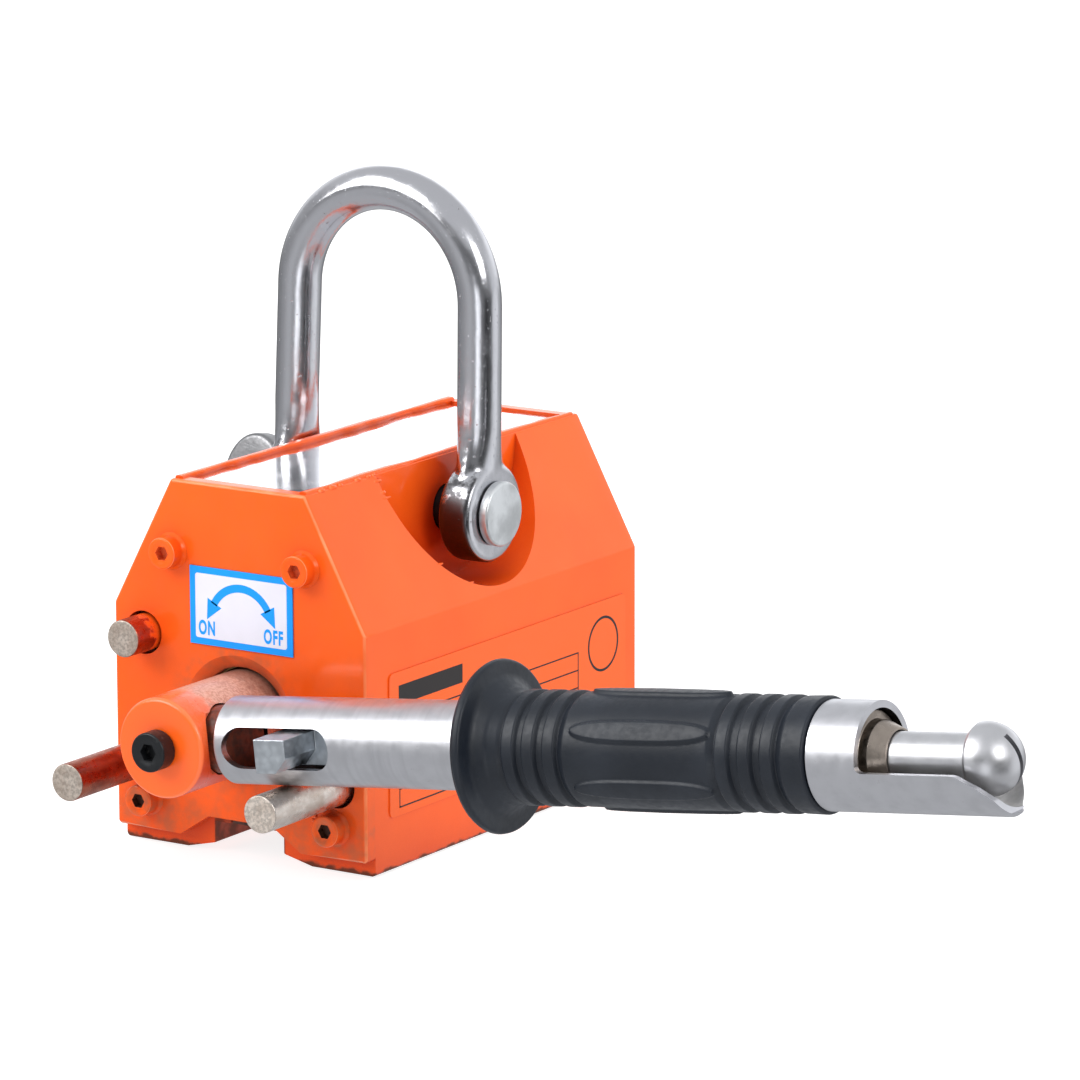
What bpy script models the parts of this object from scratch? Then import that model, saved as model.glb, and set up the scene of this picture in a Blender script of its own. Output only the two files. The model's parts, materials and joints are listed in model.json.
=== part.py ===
"""Permanent lifting magnet with an ON/OFF handle and a lifting shackle.

Every length below is in millimetres and is turned into metres by MM.  The working frame is the
body's: X to the right, Y to the back from the front cover's outer face, Z up from the pole faces.
Every piece hangs on the "datum" empty, which puts the middle of the whole object's footprint at
the world origin.  Pieces of the handle hang on "handle_axis", whose X runs out along the handle.
"""
import math

import bmesh
import bpy
from mathutils import Matrix, Vector

MM = 0.001
GAP = 0.3                # space between pieces that touch

# Body
BODY_HALF = 28.07        # half the width
BODY_LENGTH = 92.3
BODY_HEIGHT = 70.0
CHAMFER_FOOT = 45.4      # height where the sloping shoulders start
TOP_HALF = 14.91         # half the width of the top
COVER = 3.0              # thickness of the two end covers
COVER_BOTTOM = 3.0       # the pole feet stand this far below the covers
FOOT_GAP_HALF = 7.7      # half the groove between the pole feet
FOOT_GAP_TOP = 5.6
FOOT_FLAT = 14.0         # the pole faces are flat outside this half-width
FOOT_RISE = 1.5          # and rise this much at the groove
NOTCH_FOOT = 13.6        # half-width of the notch in a cover's lower edge
NOTCH_TOP = 7.2
TRAY_HALF = 13.4         # recess in the top that holds the plate
TRAY_DEPTH = 1.5

# Shackle and its pockets
PIN_Y = 46.5
PIN_Z = 59.8
POCKET_RADIUS = 23.5
WALL_RIGHT = 14.9        # where each pocket's flat wall stands
WALL_LEFT = -14.45       # deeper, so that the leg clears it as the shackle swings
PIN_RADIUS = 4.25
BAR_RADIUS = 4.15
LEG_RIGHT = 22.35        # middle of each leg at the pin
LEG_LEFT = -18.95
CROWN_RIGHT = 22.6       # and where it meets the crown
CROWN_LEFT = -18.0
BOSS_RADIUS = 9.4
BOSS_THICK = 7.0
LEG_TOP = 98.7
COLLAR_RADIUS = 6.0      # the pin's collar beside the left eye
HEAD_RADIUS = 6.1        # and its head outside the right eye
TAB_MIDDLE = -27.9       # the flattened eye at the pin's left end, an ellipse
TAB_WIDE = 7.0
TAB_TALL = 9.3
TAB_THICK = 5.0
TAB_HOLE_X = -29.4
TAB_HOLE_RADIUS = 3.2
TAB_LEAN = math.radians(10.0)

# Rotor and shaft
SHAFT_Z = 26.2
SHAFT_RADIUS = 9.3
SHAFT_FRONT = -24.6
ROTOR_BORE = 17.5
ROTOR_RADIUS = 17.0
ROTOR_START = 14.0
ROTOR_END = 78.0
BEARING_WIDTH = 7.0
DISC_RADIUS = 16.5       # discs at the shafts' inner ends, against the rotor
DISC_THICK = 3.0
POLE_FLAT = 5.0          # distance of a rotor pole's flat from the axis
SHAFT_BACK = 88.4
SPOT_RADIUS = 7.2        # flat that the handle tube's end stands in
SPOT_START = 7.4
SPIGOT_START = -5.0      # the spigot's ends, along the handle
SPIGOT_END = 12.4

# Handle, measured along its own axis from the shaft's axis
HANDLE_TILT = math.radians(6.35)
HANDLE_Y = -15.2
TUBE_RADIUS = 8.0
TUBE_BORE = 6.5
TUBE_START = 10.9
TUBE_END = 143.0
SLOT_START = 12.7
SLOT_END = 36.1
SLOT_HEIGHT = 7.6
GRIP_START = 67.0
GRIP_END = 135.7
SLEEVE_RADIUS = 9.6
SLEEVE_BORE = 8.3
SLEEVE_ROUND = 170.6     # the sleeve's end is drawn in from here
SLANT_ANGLE = 33.1       # the sleeve's far side is ground off at this angle, in degrees
SLANT_START = 146.0      # distance of that cut from the shaft's axis, along its own direction
MOUTH = 145.6
BUSH_STEP = 144.4        # the guide bush's flange ends here and its conical nose goes on
BUSH_NOSE = 6.3
BUSH_END = 149.2
ROD_RADIUS = 4.4
ROD_START = 36.1
HEAD_START = 164.1       # where the thumb button's head meets the rod
DOME_RADIUS = 6.45
KEY_START = 24.1         # the latch key's faces along the handle
KEY_END = 35.8
NOSE_END = 30.8
NOSE_HALF = 3.1          # half height of its two noses
SEAT_START = 45.0        # spring seat
COLLAR_START = 94.9      # collar on the rod that the spring pushes
WASHER_THICK = 3.0       # thickness of the seat and of the collar
COIL_RADIUS = 5.4
COIL_WIRE = 0.4
COIL_TURNS = 12

# Fasteners and stops
SCREW_HIGH = (14.8, 56.5)
SCREW_LOW = (21.0, 8.9)
LOCK_PIN = (-21.4, 40.3)
ON_PIN = (-21.5, 16.8)
OFF_PIN = (21.5, 16.8)
STOP_RADIUS = 3.5
STOP_DEPTH = 15.0        # every stop pin ends this deep behind the front face
STOP_LONG = 24.0         # length of the two travel stops in front of the cover
STOP_SHORT = 6.5         # length of the lock pin in front of the cover
THREAD_RADIUS = 1.8      # holes for the covers' screws
THREAD_DEPTH = 13.0
CLAMP_HOLE = 2.3         # radius of the hole for the handle's clamp screw

# Slots for the inner pieces: half width, bottom and top
STRIP = (4.0, FOOT_GAP_TOP, 8.4)
MAGNET_BLOCK = (10.7, 46.8, 53.2)
ROTOR_MAGNET = (4.7, 15.0)                             # half width and half height
BEYOND = 99.0            # cutters reach this far to be sure of passing through

TURN_Y = Matrix.Rotation(math.radians(90), 4, "X")     # turned shapes: Z becomes -Y
TURN_X = Matrix.Rotation(math.radians(90), 4, "Y")     # turned shapes: Z becomes +X

for old in list(bpy.data.objects):
    bpy.data.objects.remove(old, do_unlink=True)


# ---------------------------------------------------------------- helpers

def material(name, colour, roughness, metallic):
    """A plain Principled material."""
    made = bpy.data.materials.new(name)
    made.use_nodes = True
    shader = made.node_tree.nodes["Principled BSDF"]
    shader.inputs["Base Color"].default_value = (*colour, 1.0)
    shader.inputs["Roughness"].default_value = roughness
    shader.inputs["Metallic"].default_value = metallic
    return made


def empty(name, place, parent=None, rotation=(0.0, 0.0, 0.0)):
    """An empty that pieces hang on; place is in millimetres."""
    made = bpy.data.objects.new(name, None)
    bpy.context.collection.objects.link(made)
    made.location = Vector(place) * MM
    made.rotation_euler = rotation
    made.parent = parent
    return made


def add(name, mesh, parent, place=(0.0, 0.0, 0.0), surface=None):
    """An object for a mesh that is already in metres."""
    made = bpy.data.objects.new(name, mesh)
    bpy.context.collection.objects.link(made)
    made.parent = parent
    made.location = Vector(place) * MM
    if surface:
        mesh.materials.append(surface)
    return made


def finish(bm, name, matrix=None, smooth_below=35.0):
    """Close a bmesh drawn in millimetres into a mesh in metres, faces pointing out."""
    if matrix:
        bm.transform(matrix)
    bm.transform(Matrix.Scale(MM, 4))
    bmesh.ops.recalc_face_normals(bm, faces=bm.faces)
    mesh = bpy.data.meshes.new(name)
    bm.to_mesh(mesh)
    bm.free()
    mesh.shade_smooth()
    mesh.set_sharp_from_angle(angle=math.radians(smooth_below))
    return mesh


def turned(name, profile, steps=32, matrix=None):
    """A solid turned about Z.  The profile is (radius, height) points; a closed ring if it has a hole."""
    bm = bmesh.new()
    ring = profile[0][0] > 0.0
    points = [bm.verts.new((radius, 0.0, height)) for radius, height in profile]
    pairs = list(zip(points, points[1:]))
    if ring:
        pairs.append((points[-1], points[0]))
    edges = [bm.edges.new(pair) for pair in pairs]
    bmesh.ops.spin(bm, geom=points + edges, cent=(0, 0, 0), axis=(0, 0, 1), angle=math.tau,
                   steps=steps, use_merge=True)
    bmesh.ops.remove_doubles(bm, verts=bm.verts, dist=1e-5)
    return finish(bm, name, matrix)


def rod(name, radius, start, end, chamfer=0.0, steps=24, matrix=None):
    """A turned rod with chamfered ends."""
    profile = [(0.0, start), (radius - chamfer, start)]
    if chamfer:
        profile += [(radius, start + chamfer), (radius, end - chamfer)]
        profile += [(radius - chamfer, end), (0.0, end)]
    else:
        profile += [(radius, end), (0.0, end)]
    return turned(name, profile, steps, matrix)


def tube(name, outer, inner, start, end, steps=32, matrix=None):
    """A turned ring of rectangular section."""
    return turned(name, [(inner, start), (outer, start), (outer, end), (inner, end)], steps, matrix)


def prism(name, outline, start, end, matrix=None):
    """An outline in the XZ plane, extruded along Y from start to end."""
    bm = bmesh.new()
    face = bm.faces.new([bm.verts.new((x, start, z)) for x, z in outline])
    grown = bmesh.ops.extrude_face_region(bm, geom=[face])
    moved = [item for item in grown["geom"] if isinstance(item, bmesh.types.BMVert)]
    bmesh.ops.translate(bm, verts=moved, vec=(0.0, end - start, 0.0))
    return finish(bm, name, matrix)


def block(name, low, high, matrix=None):
    """A box between two corners."""
    outline = [(low[0], low[2]), (high[0], low[2]), (high[0], high[2]), (low[0], high[2])]
    return prism(name, outline, low[1], high[1], matrix)


def arc(centre, radius, start, end, steps):
    """Points on an arc in the XZ plane, angles in degrees."""
    points = []
    for index in range(steps + 1):
        angle = math.radians(start + (end - start) * index / steps)
        points.append((centre[0] + radius * math.cos(angle), centre[1] + radius * math.sin(angle)))
    return points


def boolean(piece, mesh, operation="DIFFERENCE", place=(0.0, 0.0, 0.0)):
    """Cut a mesh out of a piece, or join it on; the cutter stays as a hidden guide."""
    cutter = add(f"cut_{len(bpy.data.objects):03d}", mesh, piece.parent, place)
    cutter.hide_render = True
    cutter.display_type = "WIRE"
    change = piece.modifiers.new(cutter.name, "BOOLEAN")
    change.operation = operation
    change.solver = "EXACT"
    change.object = cutter


def soften(piece, width, segments=2, angle=40.0):
    """A small bevel along a piece's sharp edges."""
    bevel = piece.modifiers.new("edges", "BEVEL")
    bevel.width = width * MM
    bevel.segments = segments
    bevel.limit_method = "ANGLE"
    bevel.angle_limit = math.radians(angle)


def along_y(x, z):
    """Where a piece turned about Z lands when it points to the front at (x, z)."""
    return Matrix.Translation((x, 0.0, z)) @ TURN_Y


# ---------------------------------------------------------------- materials

PAINT = material("orange_paint", (0.90, 0.17, 0.035), 0.38, 0.0)
POLISHED = material("polished_chrome", (0.72, 0.73, 0.75), 0.12, 1.0)
SATIN = material("satin_chrome", (0.66, 0.67, 0.69), 0.28, 1.0)
ZINC = material("zinc_plate", (0.50, 0.54, 0.57), 0.38, 1.0)
NICKEL = material("worn_nickel", (0.45, 0.42, 0.37), 0.42, 1.0)
BLACK_STEEL = material("black_steel", (0.02, 0.021, 0.024), 0.45, 0.6)
RUBBER = material("black_rubber", (0.016, 0.018, 0.021), 0.62, 0.0)
BRIGHT = material("bright_plate", (0.86, 0.86, 0.88), 0.08, 1.0)
LABEL = material("blue_label", (0.03, 0.28, 0.80), 0.35, 0.0)
FILM = material("clear_film", (0.85, 0.20, 0.05), 0.25, 0.0)
IRON = material("pole_iron", (0.22, 0.22, 0.23), 0.55, 1.0)
MAGNET = material("magnet", (0.62, 0.62, 0.63), 0.35, 1.0)
BRASS = material("brass", (0.72, 0.50, 0.20), 0.35, 1.0)
SPRING = material("spring_steel", (0.30, 0.30, 0.31), 0.35, 1.0)

datum = empty("datum", (0.0, 0.0, 0.0))
shaft_axis = empty("shaft_axis", (0.0, 0.0, SHAFT_Z), datum)
handle_axis = empty("handle_axis", (0.0, HANDLE_Y, 0.0), shaft_axis, (0.0, -HANDLE_TILT, 0.0))
shackle_axis = empty("shackle_axis", (0.0, PIN_Y, PIN_Z), datum)


# ---------------------------------------------------------------- body

def slope_at(height):
    """Half the body's width at a height on the sloping shoulder."""
    return BODY_HALF + (TOP_HALF - BODY_HALF) * (height - CHAMFER_FOOT) / (BODY_HEIGHT - CHAMFER_FOOT)


def mirrored(right_half):
    """A closed outline from its right half, bottom to top."""
    return right_half + [(-x, z) for x, z in reversed(right_half)]


def housing():
    """The steel body: two pole feet, the rotor's bore, the magnet slot, pin hole and pockets."""
    start = COVER + GAP
    end = BODY_LENGTH - COVER - GAP
    right = [(FOOT_GAP_HALF, FOOT_GAP_TOP), (FOOT_GAP_HALF, FOOT_RISE), (FOOT_FLAT, 0.0),
             (BODY_HALF, 0.0), (BODY_HALF, CHAMFER_FOOT), (TOP_HALF, BODY_HEIGHT),
             (TRAY_HALF, BODY_HEIGHT), (TRAY_HALF, BODY_HEIGHT - TRAY_DEPTH)]
    piece = add("housing", prism("housing", mirrored(right), start, end), datum, surface=PAINT)
    boolean(piece, rod("bore", ROTOR_BORE, -BODY_LENGTH, 0.0, steps=48, matrix=along_y(0.0, SHAFT_Z)))
    half = STRIP[0] + GAP
    boolean(piece, block("strip_slot", (-half, -BEYOND, FOOT_GAP_TOP - 2.0), (half, BEYOND, 12.0)))
    half, low, high = MAGNET_BLOCK
    boolean(piece, block("magnet_slot", (-half - GAP, -BEYOND, low - GAP), (half + GAP, BEYOND, high + GAP)))
    boolean(piece, rod("pin_hole", PIN_RADIUS + GAP, -20.0, 20.0,
                       matrix=Matrix.Translation((0.0, PIN_Y, PIN_Z)) @ TURN_X))
    for low, high in ((-BEYOND, WALL_LEFT), (WALL_RIGHT, BEYOND)):
        boolean(piece, rod("pocket", POCKET_RADIUS, low, high, steps=56,
                           matrix=Matrix.Translation((0.0, PIN_Y, BODY_HEIGHT)) @ TURN_X))
    for x, z in (LOCK_PIN, ON_PIN, OFF_PIN):
        boolean(piece, rod("pin_seat", STOP_RADIUS + GAP, -STOP_DEPTH - GAP, 5.0,
                           matrix=along_y(x, z)))
    for x, z in screw_places():
        boolean(piece, rod("front_thread", THREAD_RADIUS, -THREAD_DEPTH, 5.0, steps=12,
                           matrix=along_y(x, z)))
        boolean(piece, rod("rear_thread", THREAD_RADIUS, -BEYOND, THREAD_DEPTH - BODY_LENGTH, steps=12,
                           matrix=along_y(x, z)))


def screw_places():
    """The four screw positions of a cover, as (x, z)."""
    return [(side * x, z) for x, z in (SCREW_HIGH, SCREW_LOW) for side in (-1, 1)]


def cover(name, start, end):
    """An end cover: the body's outline with a notch over the groove between the feet."""
    right = [(NOTCH_TOP, COVER_BOTTOM + 4.2), (NOTCH_FOOT, COVER_BOTTOM), (BODY_HALF, COVER_BOTTOM),
             (BODY_HALF, CHAMFER_FOOT), (TOP_HALF, BODY_HEIGHT)]
    piece = add(name, prism(name, mirrored(right), start, end), datum, surface=PAINT)
    soften(piece, 0.5, 1)
    for x, z in screw_places():
        boolean(piece, rod("screw_hole", THREAD_RADIUS, -end - 5.0, -start + 5.0, steps=12,
                           matrix=along_y(x, z)))
    return piece


def covers():
    """Both covers; the front one also passes the shaft and the stop pins."""
    front = cover("front_cover", 0.0, COVER)
    recess = [(0.0, -9.0), (9.8, -9.0), (9.8, -1.4), (12.3, 0.0), (12.3, 4.0), (0.0, 4.0)]
    boolean(front, turned("shaft_hole", recess, 40, along_y(0.0, SHAFT_Z)))
    for x, z in (LOCK_PIN, ON_PIN, OFF_PIN):
        boolean(front, rod("pin_hole", STOP_RADIUS + 0.6, -9.0, 4.0, matrix=along_y(x, z)))
    cover("rear_cover", BODY_LENGTH - COVER, BODY_LENGTH)


def cap_screw(name, parent, matrix, head, tall, shank, length, surface, key):
    """A socket cap screw standing on Z = 0 with its head up and its shank down."""
    edge = 0.12 * head
    profile = [(0.0, -length), (shank, -length), (shank, 0.0), (head, 0.0), (head, tall - edge),
               (head - edge, tall), (0.0, tall)]
    piece = add(name, turned(name, profile, 24, matrix), parent, surface=surface)
    hexagon = rod("socket", key / math.sqrt(3.0), 0.45 * tall, tall + 1.0, steps=6, matrix=matrix)
    boolean(piece, hexagon)


def fasteners():
    """Four screws in each cover."""
    for number, (x, z) in enumerate(screw_places(), 1):
        front = Matrix.Translation((x, -GAP, z)) @ TURN_Y
        cap_screw(f"front_cover_screw_{number}", datum, front, 2.95, 3.0, 1.5, 11.0, PAINT, 2.5)
        back = Matrix.Translation((x, BODY_LENGTH + GAP, z)) @ TURN_Y.inverted()
        cap_screw(f"rear_cover_screw_{number}", datum, back, 2.95, 3.0, 1.5, 11.0, PAINT, 2.5)


def stop_pins():
    """The short lock pin and the two long stops of the handle's travel."""
    for name, (x, z), length in (("stop_pin_lock", LOCK_PIN, STOP_SHORT),
                                 ("stop_pin_on", ON_PIN, STOP_LONG),
                                 ("stop_pin_off", OFF_PIN, STOP_LONG)):
        mesh = rod(name, STOP_RADIUS, -STOP_DEPTH, length, 0.4, matrix=along_y(x, z))
        add(name, mesh, datum, surface=NICKEL)


def inserts():
    """What is set into the body: strip, fixed magnets, bearings, top plate and labels."""
    start = COVER + GAP
    end = BODY_LENGTH - COVER - GAP
    middle = BODY_LENGTH / 2.0
    half, low, high = STRIP
    add("nonmagnetic_strip", block("strip", (-half, start, low), (half, end, high)), datum, surface=BRASS)
    half, bottom, top = MAGNET_BLOCK
    for number, (low, high) in enumerate(((start + GAP, middle - GAP), (middle + GAP, end - GAP)), 1):
        mesh = block("fixed_magnet", (-half, low, bottom), (half, high, top))
        add(f"fixed_magnet_{number}", mesh, datum, surface=MAGNET)
    for name, low in (("front_bearing", start + 0.1), ("rear_bearing", end - 0.1 - BEARING_WIDTH)):
        mesh = tube(name, ROTOR_BORE - GAP, SHAFT_RADIUS + GAP, -low - BEARING_WIDTH, -low, 40,
                    along_y(0.0, 0.0))
        add(name, mesh, shaft_axis, surface=BRASS)
    plate = TRAY_HALF - GAP
    tray = BODY_HEIGHT - TRAY_DEPTH
    add("rating_plate", block("plate", (-plate, start, tray + GAP), (plate, end, tray + 1.0)),
        datum, surface=BRIGHT)
    label = arc((11.1, 53.1), 1.3, 90, 0, 3) + [(12.4, 39.8), (-10.5, 39.8), (-10.5, 54.4)]
    add("switch_label", prism("label", label, -0.6, -GAP), datum, surface=LABEL)
    side = block("side", (BODY_HALF + GAP, 7.5, 10.0), (BODY_HALF + 0.6, 88.0, 37.0))
    add("side_label", side, datum, surface=FILM)


# ---------------------------------------------------------------- rotor

def rotor():
    """The shaft ends and, between them, two iron poles with flat magnets sandwiched between."""
    lip = ROTOR_START - GAP
    profile = [(0.0, -lip), (DISC_RADIUS, -lip), (DISC_RADIUS, DISC_THICK - lip),
               (SHAFT_RADIUS, DISC_THICK - lip), (SHAFT_RADIUS, -SHAFT_FRONT - 0.4),
               (SHAFT_RADIUS - 0.4, -SHAFT_FRONT), (0.0, -SHAFT_FRONT)]
    shaft = add("drive_shaft", turned("drive_shaft", profile, 40, TURN_Y), shaft_axis, surface=PAINT)
    turn = Matrix.Translation((0.0, HANDLE_Y, 0.0)) @ Matrix.Rotation(-HANDLE_TILT, 4, "Y") @ TURN_X
    boolean(shaft, rod("cross_hole", TUBE_BORE, SPIGOT_START - GAP, 20.0, steps=32, matrix=turn))
    boolean(shaft, rod("spot_face", SPOT_RADIUS, SPOT_START, 20.0, steps=32, matrix=turn))
    boolean(shaft, rod("clamp_hole", CLAMP_HOLE, 8.0, 40.0, steps=16, matrix=TURN_Y))
    low = ROTOR_END + GAP
    stub = [(0.0, low), (DISC_RADIUS, low), (DISC_RADIUS, low + DISC_THICK),
            (SHAFT_RADIUS, low + DISC_THICK), (SHAFT_RADIUS, SHAFT_BACK), (0.0, SHAFT_BACK)]
    add("rear_stub_shaft", turned("rear_stub_shaft", stub, 40, TURN_Y.inverted()), shaft_axis,
        surface=IRON)
    flat = math.degrees(math.acos(POLE_FLAT / ROTOR_RADIUS))
    tilt = Matrix.Rotation(-HANDLE_TILT, 4, "Y")
    for name, facing in (("rotor_pole_a", 0.0), ("rotor_pole_b", 180.0)):
        outline = arc((0.0, 0.0), ROTOR_RADIUS, facing - flat, facing + flat, 20)
        add(name, prism(name, outline, ROTOR_START, ROTOR_END, tilt), shaft_axis, surface=IRON)
    middle = (ROTOR_START + ROTOR_END) / 2.0
    wide, tall = ROTOR_MAGNET
    for number, (low, high) in enumerate(((ROTOR_START + GAP, middle - GAP),
                                          (middle + GAP, ROTOR_END - GAP)), 1):
        mesh = block("rotor_magnet", (-wide, low, -tall), (wide, high, tall), tilt)
        add(f"rotor_magnet_{number}", mesh, shaft_axis, surface=MAGNET)
    head = Matrix.Translation((0.0, SHAFT_FRONT - GAP, 0.0)) @ TURN_Y
    cap_screw("handle_clamp_screw", shaft_axis, head, 3.65, 3.5, 2.0, 15.6, BLACK_STEEL, 3.0)


# ---------------------------------------------------------------- handle

def side_slot(start, end, height, reach):
    """A slot with round ends that passes through the handle from front to back."""
    radius = height / 2.0
    outline = arc((start + radius, 0.0), radius, 90, 270, 12)
    outline += arc((end - radius, 0.0), radius, -90, 90, 12)
    return prism("slot", outline, -reach, reach)


def handle_tube():
    """The spigot in the shaft and the tube on it, slotted for the latch key."""
    mesh = rod("spigot", TUBE_BORE - GAP, SPIGOT_START, SPIGOT_END, 0.4, 32, TURN_X)
    spigot = add("handle_spigot", mesh, handle_axis, surface=BLACK_STEEL)
    tilt = Matrix.Rotation(HANDLE_TILT, 4, "Y")
    boolean(spigot, rod("clamp_hole", CLAMP_HOLE, -20.0, 20.0, steps=16, matrix=tilt @ TURN_Y))
    profile = [(TUBE_BORE, TUBE_START), (TUBE_RADIUS - 0.4, TUBE_START),
               (TUBE_RADIUS, TUBE_START + 0.4), (TUBE_RADIUS, TUBE_END), (TUBE_BORE, TUBE_END)]
    piece = add("handle_tube", turned("handle_tube", profile, 40, TURN_X), handle_axis, surface=SATIN)
    boolean(piece, side_slot(SLOT_START, SLOT_END, SLOT_HEIGHT, 12.0))


def grip_profile():
    """The grip's section: flange, necks, three rings at each end and the plain middle."""
    outer = [(14.6, GRIP_START), (15.5, GRIP_START + 0.9), (15.3, GRIP_START + 1.8)]
    outer += [(12.4, 69.2), (10.6, 70.9), (9.8, 73.2)]
    for middle in (75.7, 79.9, 84.2):
        outer += [(9.6, middle - 1.6), (10.2, middle - 0.7), (10.2, middle + 0.7), (9.6, middle + 1.6)]
    outer += [(10.1, 87.2), (10.2, 102.0), (10.1, 116.4)]
    for middle in (119.4, 123.9, 128.4):
        outer += [(9.6, middle - 1.6), (10.2, middle - 0.7), (10.2, middle + 0.7), (9.6, middle + 1.6)]
    outer += [(10.1, 131.4), (10.2, GRIP_END - 0.4), (9.9, GRIP_END)]
    inner = [(TUBE_RADIUS + GAP, GRIP_END), (TUBE_RADIUS + GAP, GRIP_START)]
    return outer + inner


def grip():
    """The rubber grip with six raised pads around its middle."""
    piece = add("grip", turned("grip", grip_profile(), 36, TURN_X), handle_axis, surface=RUBBER)
    for number in range(6):
        pad = [(89.3, -0.9), (93.0, -2.2), (112.6, -2.2), (116.3, -0.9)]
        pad += [(x, -z) for x, z in reversed(pad)]
        around = Matrix.Rotation(math.radians(30.0 + 60.0 * number), 4, "X")
        boolean(piece, prism("pad", pad, -10.8, -9.2, around), "UNION")


def sleeve():
    """The end sleeve: a ring whose upper half is cut away so that it becomes a trough."""
    lip = 5.8
    profile = [(SLEEVE_BORE, GRIP_END + GAP), (SLEEVE_RADIUS, GRIP_END + GAP)]
    profile += arc((lip, SLEEVE_ROUND), SLEEVE_RADIUS - lip, 0, 90, 6)
    profile += arc((lip, SLEEVE_ROUND), SLEEVE_BORE - lip, 90, 0, 4)
    piece = add("handle_sleeve", turned("handle_sleeve", profile, 40, TURN_X), handle_axis,
                surface=SATIN)
    edge = [(MOUTH, 20.0), (MOUTH, -1.0), (164.6, -1.0), (168.6, -3.2), (171.2, -5.4)]
    edge += [(172.2, -8.2), (190.0, -8.2), (190.0, 20.0)]
    boolean(piece, prism("cutaway", edge, -15.0, 15.0))
    slant = Matrix.Rotation(math.radians(SLANT_ANGLE), 4, "Z")
    boolean(piece, block("far_side", (SLANT_START, -150.0, -20.0), (SLANT_START + 60.0, 50.0, 20.0),
                         slant))


def thumb_plunger():
    """The thumb button, its rod and collar, and the latch key that crosses the tube."""
    key = add("latch_key", block("key", (KEY_START, -4.2, -3.5), (KEY_END, 5.0, 3.5)), handle_axis,
              surface=ZINC)
    nose = [(KEY_START, -NOSE_HALF), (28.3, -NOSE_HALF), (NOSE_END, -0.4), (NOSE_END, NOSE_HALF),
            (KEY_START, NOSE_HALF)]
    boolean(key, prism("front_nose", nose, -13.7, -1.0), "UNION")
    boolean(key, block("rear_nose", (KEY_START, 2.0, -NOSE_HALF), (NOSE_END, 8.3, NOSE_HALF)), "UNION")
    mesh = rod("plunger_rod", ROD_RADIUS, ROD_START, HEAD_START - GAP, 0.3, 24, TURN_X)
    add("plunger_rod", mesh, handle_axis, surface=SATIN)
    collar = tube("rod_collar", TUBE_BORE - GAP, ROD_RADIUS + GAP, COLLAR_START,
                  COLLAR_START + WASHER_THICK, 32, TURN_X)
    add("rod_collar", collar, handle_axis, surface=ZINC)
    centre = HEAD_START + 1.9
    dome = [(0.0, HEAD_START), (ROD_RADIUS + 0.2, HEAD_START), (5.6, HEAD_START + 0.4)]
    dome += [(DOME_RADIUS * math.cos(turn), centre + DOME_RADIUS * math.sin(turn))
             for turn in (math.radians(10.0 * step) for step in range(-1, 9))]
    dome.append((0.0, centre + DOME_RADIUS))
    button = add("thumb_button", turned("thumb_button", dome, 32, TURN_X), handle_axis,
                 surface=POLISHED)
    boolean(button, block("driver_slot", (centre + 3.9, -0.55, -4.6), (175.0, 0.55, 4.6),
                          Matrix.Rotation(math.radians(15.0), 4, "X")))


def spring_parts():
    """Seat, guide bush and return spring around the plunger rod."""
    seat_end = SEAT_START + WASHER_THICK
    seat = tube("spring_seat", TUBE_BORE - GAP, ROD_RADIUS + GAP, SEAT_START, seat_end, 32, TURN_X)
    add("spring_seat", seat, handle_axis, surface=ZINC)
    inner = ROD_RADIUS + GAP
    outline = [(inner, TUBE_END + GAP), (SLEEVE_BORE - GAP, TUBE_END + GAP),
               (SLEEVE_BORE - GAP, BUSH_STEP), (BUSH_NOSE, BUSH_STEP), (BUSH_NOSE, MOUTH + 0.6),
               (inner + 0.4, BUSH_END), (inner, BUSH_END)]
    add("guide_bush", turned("guide_bush", outline, 32, TURN_X), handle_axis, surface=ZINC)
    start = seat_end + GAP + COIL_WIRE
    end = COLLAR_START - GAP - COIL_WIRE
    curve = bpy.data.curves.new("return_spring", "CURVE")
    curve.dimensions = "3D"
    curve.bevel_depth = COIL_WIRE * MM
    curve.bevel_resolution = 1
    curve.use_fill_caps = True
    spline = curve.splines.new("POLY")
    count = 12 * COIL_TURNS
    spline.points.add(count)
    for index in range(count + 1):
        angle = math.tau * COIL_TURNS * index / count
        along = start + (end - start) * index / count
        point = Vector((along, COIL_RADIUS * math.cos(angle), COIL_RADIUS * math.sin(angle))) * MM
        spline.points[index].co = (*point, 1.0)
    add("return_spring", curve, handle_axis, surface=SPRING)


# ---------------------------------------------------------------- shackle

def bow_route():
    """The bow's centre line and section half-sizes, from the left eye over the crown to the right.

    Each entry is (x, z, half width across the bar, half width along Y).
    """
    middle = (CROWN_LEFT + CROWN_RIGHT) / 2.0
    radius = (CROWN_RIGHT - CROWN_LEFT) / 2.0
    flare = [(PIN_Z + 1.0, 3.3, 8.0), (PIN_Z + 5.0, 3.35, 6.9), (PIN_Z + 9.0, 3.6, 5.6),
             (PIN_Z + 13.0, 3.95, 4.6), (PIN_Z + 17.0, BAR_RADIUS, BAR_RADIUS)]
    left = [(LEG_LEFT, z, wide, deep) for z, wide, deep in flare]
    right = [(LEG_RIGHT, z, wide, deep) for z, wide, deep in reversed(flare)]
    crown = []
    for x, z in arc((middle, LEG_TOP), radius, 180, 0, 20):
        crown.append((x, z, BAR_RADIUS, BAR_RADIUS))
    return left + crown + right


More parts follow.
